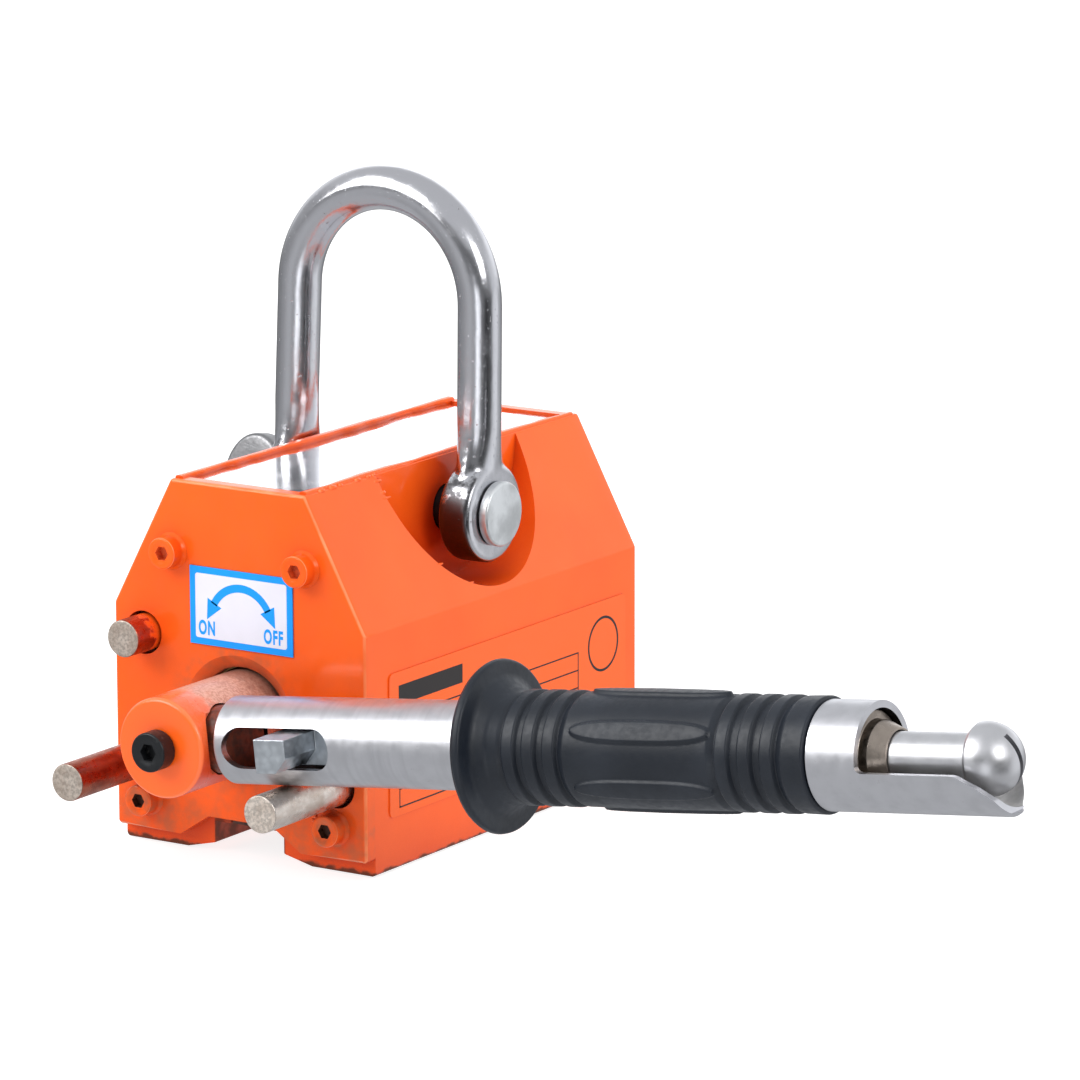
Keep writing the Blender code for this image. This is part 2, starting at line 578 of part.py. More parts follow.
def bow_mesh():
    """Sweep an oval section along the bow's route and cap both ends."""
    route = bow_route()
    sides = 20
    bm = bmesh.new()
    rings = []
    for index, (x, z, wide, deep) in enumerate(route):
        before = route[max(index - 1, 0)]
        after = route[min(index + 1, len(route) - 1)]
        along = Vector((after[0] - before[0], 0.0, after[1] - before[1])).normalized()
        across = Vector((-along.z, 0.0, along.x))
        ring = []
        for side in range(sides):
            angle = math.tau * side / sides
            offset = across * (wide * math.cos(angle)) + Vector((0.0, deep * math.sin(angle), 0.0))
            ring.append(bm.verts.new(Vector((x, 0.0, z - PIN_Z)) + offset))
        rings.append(ring)
    for first, second in zip(rings, rings[1:]):
        bmesh.ops.bridge_loops(bm, edges=loop_edges(bm, first) + loop_edges(bm, second))
    for ring in (rings[0], rings[-1]):
        bm.faces.new(ring)
    return finish(bm, "shackle_bow")


def loop_edges(bm, ring):
    """The edges of a closed ring of vertices, made where they are missing."""
    edges = []
    for first, second in zip(ring, ring[1:] + ring[:1]):
        edges.append(bm.edges.get((first, second)) or bm.edges.new((first, second)))
    return edges


def shackle():
    """The bow with its two eyes, and the screw pin through the body."""
    bow = add("shackle_bow", bow_mesh(), shackle_axis, surface=POLISHED)
    half = BOSS_THICK / 2.0
    for leg in (LEG_LEFT, LEG_RIGHT):
        eye = rod("eye", BOSS_RADIUS, leg - half, leg + half, 0.9, 40, TURN_X)
        boolean(bow, eye, "UNION")
    boolean(bow, rod("eye_bore", PIN_RADIUS + GAP, -60.0, 60.0, steps=24, matrix=TURN_X))
    out = LEG_RIGHT + half + GAP
    collar = LEG_LEFT - half - GAP
    profile = [(0.0, collar - 1.6), (COLLAR_RADIUS, collar - 1.6), (COLLAR_RADIUS, collar),
               (PIN_RADIUS, collar), (PIN_RADIUS, out), (HEAD_RADIUS, out), (HEAD_RADIUS, out + 1.4),
               (HEAD_RADIUS - 0.4, out + 1.8), (0.0, out + 1.8)]
    pin = add("shackle_pin", turned("shackle_pin", profile, 24, TURN_X), shackle_axis,
              surface=BLACK_STEEL)
    lean = Matrix.Rotation(-TAB_LEAN, 4, "X")
    open_angle = math.acos((collar - 0.5 - TAB_MIDDLE) / TAB_WIDE)
    outline = []
    for step in range(25):
        turn = open_angle + (math.tau - 2.0 * open_angle) * step / 24
        outline.append((TAB_MIDDLE + TAB_WIDE * math.cos(turn), TAB_TALL * math.sin(turn)))
    boolean(pin, prism("tab", outline, -TAB_THICK / 2.0, TAB_THICK / 2.0, lean), "UNION")
    hole = arc((TAB_HOLE_X, 0.0), TAB_HOLE_RADIUS, 0, 345, 23)
    boolean(pin, prism("tab_hole", hole, -9.0, 9.0, lean))


def centre_on_footprint():
    """Move the datum so that the middle of the whole footprint is at the world origin."""
    bpy.context.view_layer.update()
    graph = bpy.context.evaluated_depsgraph_get()
    xs = []
    ys = []
    for piece in bpy.data.objects:
        if piece.type in {"MESH", "CURVE"} and not piece.hide_render:
            shape = piece.evaluated_get(graph)
            for vertex in shape.to_mesh().vertices:
                point = piece.matrix_world @ vertex.co
                xs.append(point.x)
                ys.append(point.y)
            shape.to_mesh_clear()
    datum.location = (-(min(xs) + max(xs)) / 2.0, -(min(ys) + max(ys)) / 2.0, 0.0)


housing()
covers()
fasteners()
stop_pins()
inserts()
rotor()
handle_tube()
grip()
sleeve()
thumb_plunger()
spring_parts()
shackle()
centre_on_footprint()
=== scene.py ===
"""Looks of the permanent lifting magnet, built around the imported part.

Shapes are drawn in millimetres in the frame of what they belong to (body, shaft, handle or
shackle), and each object carries that frame, so a material's object coordinates follow the piece.
"""

import json
import math

import bmesh
import bpy
from mathutils import Matrix, Vector, noise


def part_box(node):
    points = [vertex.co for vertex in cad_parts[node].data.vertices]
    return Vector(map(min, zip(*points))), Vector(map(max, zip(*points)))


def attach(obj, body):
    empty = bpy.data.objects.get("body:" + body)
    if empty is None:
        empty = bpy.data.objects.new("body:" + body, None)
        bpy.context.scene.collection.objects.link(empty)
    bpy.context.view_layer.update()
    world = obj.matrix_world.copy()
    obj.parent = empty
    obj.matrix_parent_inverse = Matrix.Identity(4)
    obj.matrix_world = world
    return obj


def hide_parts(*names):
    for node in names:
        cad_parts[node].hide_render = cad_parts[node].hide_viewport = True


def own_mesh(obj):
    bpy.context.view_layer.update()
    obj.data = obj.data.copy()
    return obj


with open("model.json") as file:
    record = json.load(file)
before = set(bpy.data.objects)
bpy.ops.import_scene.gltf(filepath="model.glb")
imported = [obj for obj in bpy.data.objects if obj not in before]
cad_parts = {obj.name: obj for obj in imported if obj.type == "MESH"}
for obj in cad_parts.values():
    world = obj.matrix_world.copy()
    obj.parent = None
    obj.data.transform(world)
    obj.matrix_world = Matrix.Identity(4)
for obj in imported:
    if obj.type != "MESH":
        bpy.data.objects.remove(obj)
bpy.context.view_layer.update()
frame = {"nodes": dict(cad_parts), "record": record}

MM = 0.001

# Body
BODY_HALF = 28.07
BODY_LENGTH = 92.3
BODY_HEIGHT = 70.0
CHAMFER_FOOT = 45.4
TOP_HALF = 14.91
COVER = 3.0
COVER_BOTTOM = 3.0
FOOT_GAP_HALF = 7.7
FOOT_GAP_TOP = 5.6
FOOT_FLAT = 14.0
FOOT_RISE = 1.5
NOTCH_FOOT = 13.6
NOTCH_TOP = 7.2
STRIP_HALF = 4.3
STRIP_TOP = 12.0
MAGNET_HALF = 11.0
MAGNET_LOW = 46.5
MAGNET_HIGH = 53.5
TRAY_HALF = 13.4
TRAY_DEPTH = 1.5
SHOULDER_ROUND = 1.3  # radius of the long edges where side and slope meet
EDGE_ROUND = 0.8  # radius of the paint over the other edges

# Shackle and pockets
PIN_Y = 46.5
PIN_Z = 59.8
POCKET_RADIUS = 23.5
WALL_RIGHT = 14.9
WALL_LEFT = -14.45
PIN_RADIUS = 4.25
BAR_RADIUS = 4.15
LEG_RIGHT = 22.35
LEG_LEFT = -18.95
CROWN_RIGHT = 22.6
CROWN_LEFT = -18.0
BOSS_RADIUS = 9.4
BOSS_THICK = 7.0
LEG_TOP = 98.7

# Shaft and handle
SHAFT_Z = 26.2
SHAFT_RADIUS = 9.3
SHAFT_FRONT = -24.6
ROTOR_BORE = 17.5
ROTOR_START = 14.0
HANDLE_TILT = math.radians(6.35)
HANDLE_Y = -15.2
TUBE_RADIUS = 8.0
TUBE_BORE = 6.5
TUBE_START = 10.9
TUBE_END = 143.0
SLOT_START = 12.7
SLOT_END = 36.1
SLOT_HEIGHT = 7.6
KEY_START = 24.1
KEY_END = 35.8
NOSE_END = 30.8
GRIP_START = 67.0
GRIP_END = 135.7
SLEEVE_RADIUS = 9.6
SLEEVE_BORE = 8.3
SLEEVE_ROUND = 170.6
SLANT_ANGLE = 33.1
SLANT_START = 144.9  # 1.1 mm less than in the part, because the sleeve's tip is worn back
TIP_ROUND = 3.6
MOUTH = 145.6
BUSH_STEP = 144.4
BUSH_NOSE = 6.3
BUSH_END = 149.2
ROD_RADIUS = 4.4
HEAD_START = 164.1
DOME_RADIUS = 6.45

# Fasteners and stops
SCREW_HIGH = (14.8, 56.5)
SCREW_LOW = (21.0, 8.9)
LOCK_PIN = (-21.4, 40.3)
ON_PIN = (-21.5, 16.8)
OFF_PIN = (21.5, 16.8)
STOP_PINS = (LOCK_PIN, ON_PIN, OFF_PIN)
SCREW_HOLE = 1.8
SCREW_DEPTH = 13.0
COVER_SCREW = (2.95, 3.0, 1.5, 11.0, 2.5)  # head radius and height, shank radius and length, key
CLAMP_SCREW = (3.65, 3.5, 2.0, 15.6, 3.0)
STOP_RADIUS = 3.5
STOP_DEPTH = 15.0
STOP_LONG = 24.0
STOP_SHORT = 6.5
GAP = 0.3
BEYOND = 99.0  # past the body's far end, for cutters that go right through


def at(x, y, z):
    """A matrix that only shifts."""
    return Matrix.Translation((x, y, z))


TURN_Y = Matrix.Rotation(math.radians(90), 4, "X")  # turned shapes: Z becomes -Y
TURN_X = Matrix.Rotation(math.radians(90), 4, "Y")  # turned shapes: Z becomes +X
TO_SIDE = Matrix.Rotation(math.radians(90), 4, "Z")  # front outlines: X becomes +Y

low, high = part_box("front_cover")
BODY = at((low.x + high.x) / 2.0, low.y, 0.0)
SHAFT = BODY @ at(0.0, 0.0, SHAFT_Z * MM)
HANDLE = SHAFT @ at(0.0, HANDLE_Y * MM, 0.0) @ Matrix.Rotation(-HANDLE_TILT, 4, "Y")
SHACKLE = BODY @ at(0.0, PIN_Y * MM, PIN_Z * MM)
BODY_OF = {node: body for body, nodes in frame["record"]["behaviour"]["bodies"].items() for node in nodes}


# ---------------------------------------------------------------- meshes

def finish(bm, name, matrix=None, smooth_below=35.0):
    """Close a bmesh drawn in millimetres into a mesh in metres, faces pointing out."""
    if matrix:
        bm.transform(matrix)
    bm.transform(Matrix.Scale(MM, 4))
    bmesh.ops.recalc_face_normals(bm, faces=bm.faces)
    mesh = bpy.data.meshes.new(name)
    bm.to_mesh(mesh)
    bm.free()
    mesh.shade_smooth()
    mesh.set_sharp_from_angle(angle=math.radians(smooth_below))
    return mesh


def turned(name, profile, steps=96, matrix=None, smooth_below=35.0):
    """A solid turned about Z.  The profile is (radius, height) points; a closed ring if it has a hole."""
    bm = bmesh.new()
    ring = profile[0][0] > 0.0
    points = [bm.verts.new((radius, 0.0, height)) for radius, height in profile]
    pairs = list(zip(points, points[1:]))
    if ring:
        pairs.append((points[-1], points[0]))
    edges = [bm.edges.new(pair) for pair in pairs]
    bmesh.ops.spin(bm, geom=points + edges, cent=(0, 0, 0), axis=(0, 0, 1), angle=math.tau,
                   steps=steps, use_merge=True)
    bmesh.ops.remove_doubles(bm, verts=bm.verts, dist=1e-5)
    return finish(bm, name, matrix, smooth_below)


def rounded(corners, steps=6):
    """Points along an outline of (x, z, radius) corners, each corner rounded with an arc."""
    points = []
    for index, (x, z, radius) in enumerate(corners):
        here = Vector((x, z))
        if radius == 0.0:
            points.append((x, z))
            continue
        before = (Vector(corners[index - 1][:2]) - here).normalized()
        after = (Vector(corners[(index + 1) % len(corners)][:2]) - here).normalized()
        half = before.angle(after) / 2.0
        centre = here + (before + after).normalized() * (radius / math.sin(half))
        reach = radius / math.tan(half)
        first = here + before * reach - centre
        last = here + after * reach - centre
        for step in range(steps + 1):
            share = step / steps
            point = centre + (first * (1.0 - share) + last * share).normalized() * radius
            points.append((point.x, point.y))
    return points


def rod(name, radius, start, end, edge=0.0, steps=96, matrix=None):
    """A turned rod whose ends are rounded over by edge."""
    if edge == 0.0:
        return turned(name, [(0.0, start), (radius, start), (radius, end), (0.0, end)], steps, matrix)
    outline = rounded([(0.0, start, 0.0), (radius, start, edge), (radius, end, edge), (0.0, end, 0.0)], 4)
    return turned(name, outline, steps, matrix)


def prism(name, outline, start, end, matrix=None, smooth_below=35.0):
    """An outline in the XZ plane, extruded along Y from start to end."""
    bm = bmesh.new()
    face = bm.faces.new([bm.verts.new((x, start, z)) for x, z in outline])
    grown = bmesh.ops.extrude_face_region(bm, geom=[face])
    moved = [item for item in grown["geom"] if isinstance(item, bmesh.types.BMVert)]
    bmesh.ops.translate(bm, verts=moved, vec=(0.0, end - start, 0.0))
    return finish(bm, name, matrix, smooth_below)


def skinned(name, rings, closed=False, smooth_below=60.0):
    """A mesh through rings of points; it gets two end caps unless the rings close on themselves."""
    bm = bmesh.new()
    rings = [[bm.verts.new(point) for point in ring] for ring in rings]
    following = rings[1:] + rings[:1] if closed else rings[1:]
    for first, second in zip(rings, following):
        for index in range(len(first)):
            after = (index + 1) % len(first)
            bm.faces.new((first[index], first[after], second[after], second[index]))
    if not closed:
        bm.faces.new(rings[0])
        bm.faces.new(rings[-1])
    return finish(bm, name, None, smooth_below)


def block(name, lower, upper, matrix=None):
    """A box between two corners."""
    outline = [(lower[0], lower[2]), (upper[0], lower[2]), (upper[0], upper[2]), (lower[0], upper[2])]
    return prism(name, outline, lower[1], upper[1], matrix)


def arc(centre, radius, start, end, steps):
    """Points on an arc in the XZ plane, angles in degrees."""
    points = []
    for index in range(steps + 1):
        angle = math.radians(start + (end - start) * index / steps)
        points.append((centre[0] + radius * math.cos(angle), centre[1] + radius * math.sin(angle)))
    return points


def circle(centre, radius):
    """A closed round outline."""
    return arc(centre, radius, 0, 360, 48)[:-1]


def mirrored(right_half):
    """A closed outline from its right half, bottom to top; entries may carry a radius."""
    return right_half + [(-corner[0], *corner[1:]) for corner in reversed(right_half)]


def along_y(x, z):
    """Where a piece turned about Z lands when it points to the front at (x, z)."""
    return at(x, 0.0, z) @ TURN_Y


def evaluated(helper):
    """The mesh of an object with its modifiers applied; the object is removed."""
    bpy.context.view_layer.update()
    graph = bpy.context.evaluated_depsgraph_get()
    mesh = bpy.data.meshes.new_from_object(helper.evaluated_get(graph), depsgraph=graph)
    mesh.name = helper.name
    bpy.data.objects.remove(helper)
    return mesh


def helper_for(mesh):
    """A loose object that holds a mesh while modifiers work on it."""
    made = bpy.data.objects.new(mesh.name, mesh)
    bpy.context.collection.objects.link(made)
    return made


def combined(mesh, others, operation="DIFFERENCE", smooth_below=35.0):
    """A mesh after each of the others is cut out of it or joined on."""
    made = helper_for(mesh)
    cutters = []
    for other in others:
        cutter = helper_for(other)
        cutters.append(cutter)
        change = made.modifiers.new("cut", "BOOLEAN")
        change.operation = operation
        change.solver = "EXACT"
        change.object = cutter
    result = evaluated(made)
    for cutter in cutters:
        bpy.data.objects.remove(cutter)
    result.shade_smooth()
    result.set_sharp_from_angle(angle=math.radians(smooth_below))
    return result


def edged(mesh, width, chosen=None, segments=3, angle=32.0, clamped=True):
    """The mesh with its sharp edges rounded over; chosen(middle in mm) keeps or drops an edge."""
    bm = bmesh.new()
    bm.from_mesh(mesh)
    weights = bm.edges.layers.float.new("bevel_weight_edge")
    for edge in bm.edges:
        if len(edge.link_faces) == 2 and edge.calc_face_angle() > math.radians(angle):
            middle = (edge.verts[0].co + edge.verts[1].co) / (2.0 * MM)
            edge[weights] = 1.0 if chosen is None or chosen(middle) else 0.0
    bm.to_mesh(mesh)
    bm.free()
    made = helper_for(mesh)
    bevel = made.modifiers.new("edges", "BEVEL")
    bevel.width = width * MM
    bevel.segments = segments
    bevel.limit_method = "WEIGHT"
    bevel.use_clamp_overlap = clamped
    bevel.harden_normals = True
    return evaluated(made)


def flattened(mesh):
    """The mesh with shading that keeps its large faces flat up to the rounded edges."""
    made = helper_for(mesh)
    weighted = made.modifiers.new("flat_faces", "WEIGHTED_NORMAL")
    weighted.keep_sharp = True
    weighted.weight = 90
    return evaluated(made)


def melted(mesh, voxel, rounds):
    """The mesh rebuilt from small voxels and smoothed, so that its joins flow together."""
    made = helper_for(mesh)
    remesh = made.modifiers.new("remesh", "REMESH")
    remesh.mode = "VOXEL"
    remesh.voxel_size = voxel * MM
    remesh.use_smooth_shade = True
    smooth = made.modifiers.new("smooth", "SMOOTH")
    smooth.factor = 0.5
    smooth.iterations = rounds
    return evaluated(made)


def piece(name, mesh, where, surface, nodes=(), body=None):
    """A visible piece in its frame, riding on the body of the CAD nodes that it stands for."""
    made = bpy.data.objects.new(name, mesh)
    bpy.context.collection.objects.link(made)
    made.matrix_world = where
    mesh.materials.clear()
    mesh.materials.append(surface)
    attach(made, body or BODY_OF[nodes[0]])
    if nodes:
        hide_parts(*nodes)
    return made


def resurfaced(mesh, surface, chosen):
    """Give another surface to the faces for which chosen(middle in millimetres, direction) is true."""
    mesh.materials.append(surface)
    for face in mesh.polygons:
        if chosen(face.center / MM, face.normal):
            face.material_index = len(mesh.materials) - 1


# ---------------------------------------------------------------- materials

class Nodes:
    """A node tree with short ways to add the nodes that make its values."""

    def __init__(self, tree):
        self.tree = tree

    def add(self, kind):
        return self.tree.nodes.new("ShaderNode" + kind)

    def feed(self, socket, value):
        """Link an output to an input, or set the input's value."""
        if isinstance(value, bpy.types.NodeSocket):
            self.tree.links.new(value, socket)
        elif isinstance(value, tuple) and len(value) == 3 and socket.type == "RGBA":
            socket.default_value = (*value, 1.0)
        else:
            socket.default_value = value

    def fit(self, value, old_low, old_high, new_low=0.0, new_high=1.0, shape="SMOOTHSTEP"):
        """A value moved from one range to another, clamped, and smoothly unless shape says otherwise."""
        made = self.add("MapRange")
        made.interpolation_type = shape
        inputs = (value, old_low, old_high, new_low, new_high)
        for socket, entry in zip(("Value", "From Min", "From Max", "To Min", "To Max"), inputs):
            self.feed(made.inputs[socket], entry)
        return made.outputs["Result"]

    def math(self, operation, first, second=0.0):
        made = self.add("Math")
        made.operation = operation
        self.feed(made.inputs[0], first)
        self.feed(made.inputs[1], second)
        return made.outputs[0]

    def times(self, first, second):
        return self.math("MULTIPLY", first, second)

    def plus(self, first, second):
        return self.math("ADD", first, second)

    def absolute(self, value):
        return self.math("ABSOLUTE", value)

    def mix(self, share, first, second):
        """A colour between two colours."""
        made = self.add("Mix")
        made.data_type = "RGBA"
        self.feed(made.inputs["Factor"], share)
        self.feed(made.inputs[6], first)
        self.feed(made.inputs[7], second)
        return made.outputs[2]

    def split(self, vector):
        """The X, Y and Z outputs of a vector."""
        made = self.add("SeparateXYZ")
        self.feed(made.inputs[0], vector)
        return made.outputs


class Surface(Nodes):
    """A Principled material whose colour, roughness and bump vary over the piece."""

    def __init__(self, name, colour, roughness, metallic=0.0, **sockets):
        self.material = bpy.data.materials.new(name)
        self.material.use_nodes = True
        super().__init__(self.material.node_tree)
        self.shader = self.tree.nodes["Principled BSDF"]
        self.colour((*colour, 1.0))
        self.roughness(roughness)
        self.shader.inputs["Metallic"].default_value = metallic
        for socket, value in sockets.items():
            self.shader.inputs[socket.replace("_", " ")].default_value = value
        self.place = self.add("TexCoord").outputs["Object"]

    def texture(self, kind, size, stretch=(1.0, 1.0, 1.0)):
        """A texture with features of that size in millimetres, stretched along X, Y and Z."""
        mapping = self.add("Mapping")
        mapping.inputs["Scale"].default_value = [1.0 / (size * MM * part) for part in stretch]
        self.feed(mapping.inputs["Vector"], self.place)
        made = self.add(kind)
        self.feed(made.inputs["Vector"], mapping.outputs["Vector"])
        made.inputs["Scale"].default_value = 1.0
        return made

    def noise(self, size, detail=3.0, stretch=(1.0, 1.0, 1.0), rough=0.5):
        made = self.texture("TexNoise", size, stretch)
        made.inputs["Detail"].default_value = detail
        made.inputs["Roughness"].default_value = rough
        return made.outputs["Fac"]

    def patches(self, size, detail, low, high, new_low=0.0, new_high=1.0):
        """Noise moved from one range to another."""
        return self.fit(self.noise(size, detail), low, high, new_low, new_high)

    def cells(self, size):
        """Distance to the nearest of scattered points about that many millimetres apart."""
        return self.texture("TexVoronoi", size).outputs["Distance"]

    def part(self, axis):
        """One of the piece's own coordinates, in millimetres."""
        return self.times(self.split(self.place)[axis], 1.0 / MM)

    def normal(self, axis):
        """One component of the surface's direction, in the piece's own frame."""
        return self.split(self.add("TexCoord").outputs["Normal"])[axis]

    def corners(self, reach):
        """1 in tight corners within reach millimetres, 0 in the open."""
        made = self.add("AmbientOcclusion")
        made.samples = 6
        made.inputs["Distance"].default_value = reach * MM
        return self.math("SUBTRACT", 1.0, made.outputs["AO"])

    def colour(self, value):
        self.feed(self.shader.inputs["Base Color"], value)

    def roughness(self, value):
        self.feed(self.shader.inputs["Roughness"], value)

    def bump(self, *layers):
        """Bump layers, each (height output, depth in millimetres)."""
        last = None
        for height, depth in layers:
            made = self.add("Bump")
            made.inputs["Strength"].default_value = 1.0
            made.inputs["Distance"].default_value = depth * MM
            self.feed(made.inputs["Height"], height)
            if last:
                self.feed(made.inputs["Normal"], last)
            last = made.outputs["Normal"]
        self.feed(self.shader.inputs["Normal"], last)


def darker(tone, share):
    """A colour scaled down to a share of itself."""
    return tuple(share * part for part in tone)


ORANGE = (0.96, 0.118, 0.009)
ORANGE_DEEP = (0.90, 0.100, 0.007)
# Painted shade: the deeper, darker orange for hemmed-in paint and for the underside of the shaft's barrel.
ORANGE_PAINTED_SHADE = (0.60, 0.038, 0.004)
# Soiling and painted shade: the dark brown of tight corners, the bottom edge and the notch.
GRIME_AND_SHADE = (0.055, 0.022, 0.012)


def highlight_on_front_edges(made):
    """1 on edges rounded between a face across Y and one along it, where a painted highlight goes."""
    turn = made.absolute(made.normal("Y"))
    return made.times(made.fit(turn, 0.1, 0.4), made.fit(turn, 0.98, 0.75))


def highlight_on_screw_heads(made):
    """1 where a screw's head rounds over from its side to its face, where a painted highlight goes."""
    turn = made.absolute(made.normal("Y"))
    band = made.times(made.fit(turn, 0.15, 0.35, 0.0, 0.8), made.fit(turn, 0.75, 0.6))
    return made.times(band, made.fit(made.part("Y"), -1.8, -2.3))


def highlight_on_pocket_rims(made):
    """1 on the rounded rims of the pockets, whose surface turns from X toward Y, where a painted highlight
    goes.
    """
    sideways = made.fit(made.absolute(made.normal("X")), 0.08, 0.3)
    return made.times(sideways, made.fit(made.absolute(made.normal("Y")), 0.05, 0.25))


def paint(name, corner_darkening=0.75, corner_reach=3.0, dust=0.0, rims=highlight_on_front_edges):
    """Thick glossy orange paint: slight waves, speckles, painted highlights on rounded edges, painted shade
    deepening it where hemmed in, and soiling with painted shade in tight corners.
    """
    made = Surface(name, ORANGE, 0.3, Coat_Weight=0.25, Coat_Roughness=0.06, Specular_IOR_Level=0.4,
                   Specular_Tint=(1.0, 0.62, 0.42, 1.0))
    mottled = made.mix(made.patches(24.0, 3.0, 0.3, 0.75), ORANGE, ORANGE_DEEP)
    specks = made.patches(0.9, 2.0, 0.79, 0.83)
    marked = made.mix(made.times(specks, 0.55), mottled, (0.42, 0.05, 0.01))
    pale = made.patches(1.3, 2.0, 0.8, 0.84)
    marked = made.mix(made.times(pale, 0.35), marked, (0.98, 0.40, 0.20))
    # Painted shade: the orange deepens wherever other surfaces hem it in within 16 mm.
    marked = made.mix(made.fit(made.corners(16.0), 0.18, 0.75, 0.0, 0.85), marked, ORANGE_PAINTED_SHADE)
    # Painted highlight: a pale orange line along the rounded edges that rims picks out.
    painted_rim_highlight = made.times(rims(made), made.patches(9.0, 3.0, 0.35, 0.65, 0.3, 0.75))
    marked = made.mix(painted_rim_highlight, marked, (1.0, 0.30, 0.13))
    # Soiling and painted shade: dark brown in tight corners (faint on the top), along the bottom millimetre
    # and on the notch's inner walls.
    dirt_and_shade = made.times(made.fit(made.corners(corner_reach), 0.42, 0.9),
                     made.patches(1.4, 4.0, 0.3, 0.62, 0.25, 1.0))
    dirt_and_shade = made.times(dirt_and_shade, made.fit(made.part("Z"), 67.5, 69.0, corner_darkening, 0.05))
    foot = made.plus(made.part("Z"), made.patches(3.0, 4.0, 0.3, 0.7, -0.4, 0.4))
    dirt_and_shade = made.math("MAXIMUM", dirt_and_shade, made.fit(foot, 0.3, 1.0, 0.9, 0.0))
    inward = made.fit(made.absolute(made.part("X")), FOOT_GAP_HALF + 0.4, FOOT_GAP_HALF + 0.1)
    groove = made.times(inward, made.fit(made.part("Z"), 7.0, 6.0))
    groove_blotches = made.patches(3.0, 4.0, 0.3, 0.6, 0.5, 0.85)
    dirt_and_shade = made.math("MAXIMUM", dirt_and_shade, made.times(groove, groove_blotches))
    if dust:
        from_shaft = made.math("POWER", made.part("X"), 2.0)
        above_shaft = made.math("POWER", made.math("SUBTRACT", made.part("Z"), SHAFT_Z), 2.0)
        from_shaft = made.math("SQRT", made.plus(from_shaft, above_shaft))
        soiled = made.math("MAXIMUM", made.fit(from_shaft, 17.0, 12.5, 0.0, 0.4),
                           made.fit(made.part("Z"), 15.0, 5.0, 0.0, 0.5))
        film = made.patches(3.0, 5.0, 0.32, 0.72)
        film = made.times(film, made.plus(soiled, dust))
        marked = made.mix(film, marked, (0.36, 0.11, 0.05))
    made.colour(made.mix(dirt_and_shade, marked, GRIME_AND_SHADE))
    gloss = made.patches(7.0, 4.0, 0.3, 0.75, 0.15, 0.27)
    made.roughness(made.fit(dirt_and_shade, 0.0, 1.0, gloss, 0.8))
    made.bump((made.noise(14.0, 2.0), 0.16), (made.noise(1.1, 2.0), 0.018), (specks, 0.03))
    return made.material


def enamel(name, tone, dark):
    """Dull paint darkened to stand for the shade in a recess, mottled between two tones."""
    made = Surface(name, tone, 0.45)
    made.colour(made.mix(made.patches(1.6, 5.0, 0.35, 0.7), tone, dark))
    made.roughness(made.patches(1.0, 4.0, 0.3, 0.7, 0.35, 0.6))
    made.bump((made.noise(0.8, 3.0), 0.03))
    return made.material


def polished(name, tone=(0.60, 0.60, 0.63)):
    """Bright chrome over a slightly lumpy forging, with pits, and painted reflection and shade making it
    near-black on the eyes' rims.
    """
    made = Surface(name, tone, 0.1, 1.0)
    pits = made.patches(0.7, 3.0, 0.66, 0.74)
    patch = made.patches(9.0, 3.0, 0.5, 0.72)
    pitted = made.times(pits, patch)
    chrome = made.mix(made.times(pitted, 0.8), tone, (0.10, 0.095, 0.09))
    smear = made.fit(made.noise(4.0, 5.0, rough=0.65), 0.35, 0.75, 0.15, 0.27)
    facing = made.absolute(made.normal("X"))
    low = made.plus(made.part("Z"), made.fit(made.noise(2.5, 5.0, rough=0.65), 0.3, 0.7, -3.5, 3.5))
    # Painted reflection and shade: the chrome turns near-black on the eyes' rims, low down in the pockets.
    rim = made.times(made.fit(facing, 0.8, 0.45), made.fit(low, 9.0, 4.0))
    made.colour(made.mix(made.times(rim, 0.92), chrome, (0.045, 0.045, 0.048)))
    rough_pits = made.fit(pitted, 0.0, 1.0, smear, 0.5)
    made.roughness(made.math("MAXIMUM", rough_pits, made.fit(rim, 0.0, 1.0, 0.0, 0.34)))
    made.bump((made.noise(6.0, 2.0), 0.12), (made.noise(1.3, 3.0, (1.0, 1.0, 3.0)), 0.016), (pits, -0.03))
    return made.material


def satin(name, tone=(0.66, 0.66, 0.69), lined=1.0, marks=0.5):
    """Satin chrome with pits; lined is the strength of fine turning lines round the axis, X."""
    made = Surface(name, tone, 0.26, 1.0)
    lines = made.noise(0.07, 2.0, (1.0, 70.0, 70.0))
    broad = made.noise(1.5, 3.0, (1.0, 18.0, 18.0))
    spots = made.patches(0.8, 3.0, 0.68, 0.76)
    cloud = made.patches(8.0, 4.0, 0.4, 0.75)
    haze = made.patches(3.5, 5.0, 0.35, 0.75, 0.0, 0.6)
    shade = made.mix(haze, tone, darker(tone, 0.84))
    shade = made.mix(made.fit(broad, 0.4, 0.7, 0.0, lined), shade, darker(tone, 0.88))
    dark = made.times(made.times(spots, cloud), marks)
    made.colour(made.mix(dark, shade, (0.22, 0.19, 0.17)))
    made.roughness(made.patches(2.0, 4.0, 0.3, 0.7, 0.32, 0.42))
    made.bump((lines, 0.004 * lined), (broad, 0.002 * lined), (made.noise(5.0, 2.0), 0.012), (spots, -0.006))
    return made.material


def zinc(name, tone=(0.64, 0.68, 0.72)):
    """Bluish zinc plate over a sawn and tumbled block."""
    made = Surface(name, tone, 0.34, 1.0)
    spangle = made.fit(made.cells(1.6), 0.1, 0.7)
    made.colour(made.mix(spangle, tone, darker(tone, 0.82)))
    made.roughness(made.patches(1.5, 4.0, 0.3, 0.7, 0.32, 0.5))
    made.bump((made.noise(2.6, 3.0), 0.09), (made.noise(0.35, 2.0), 0.012))
    return made.material


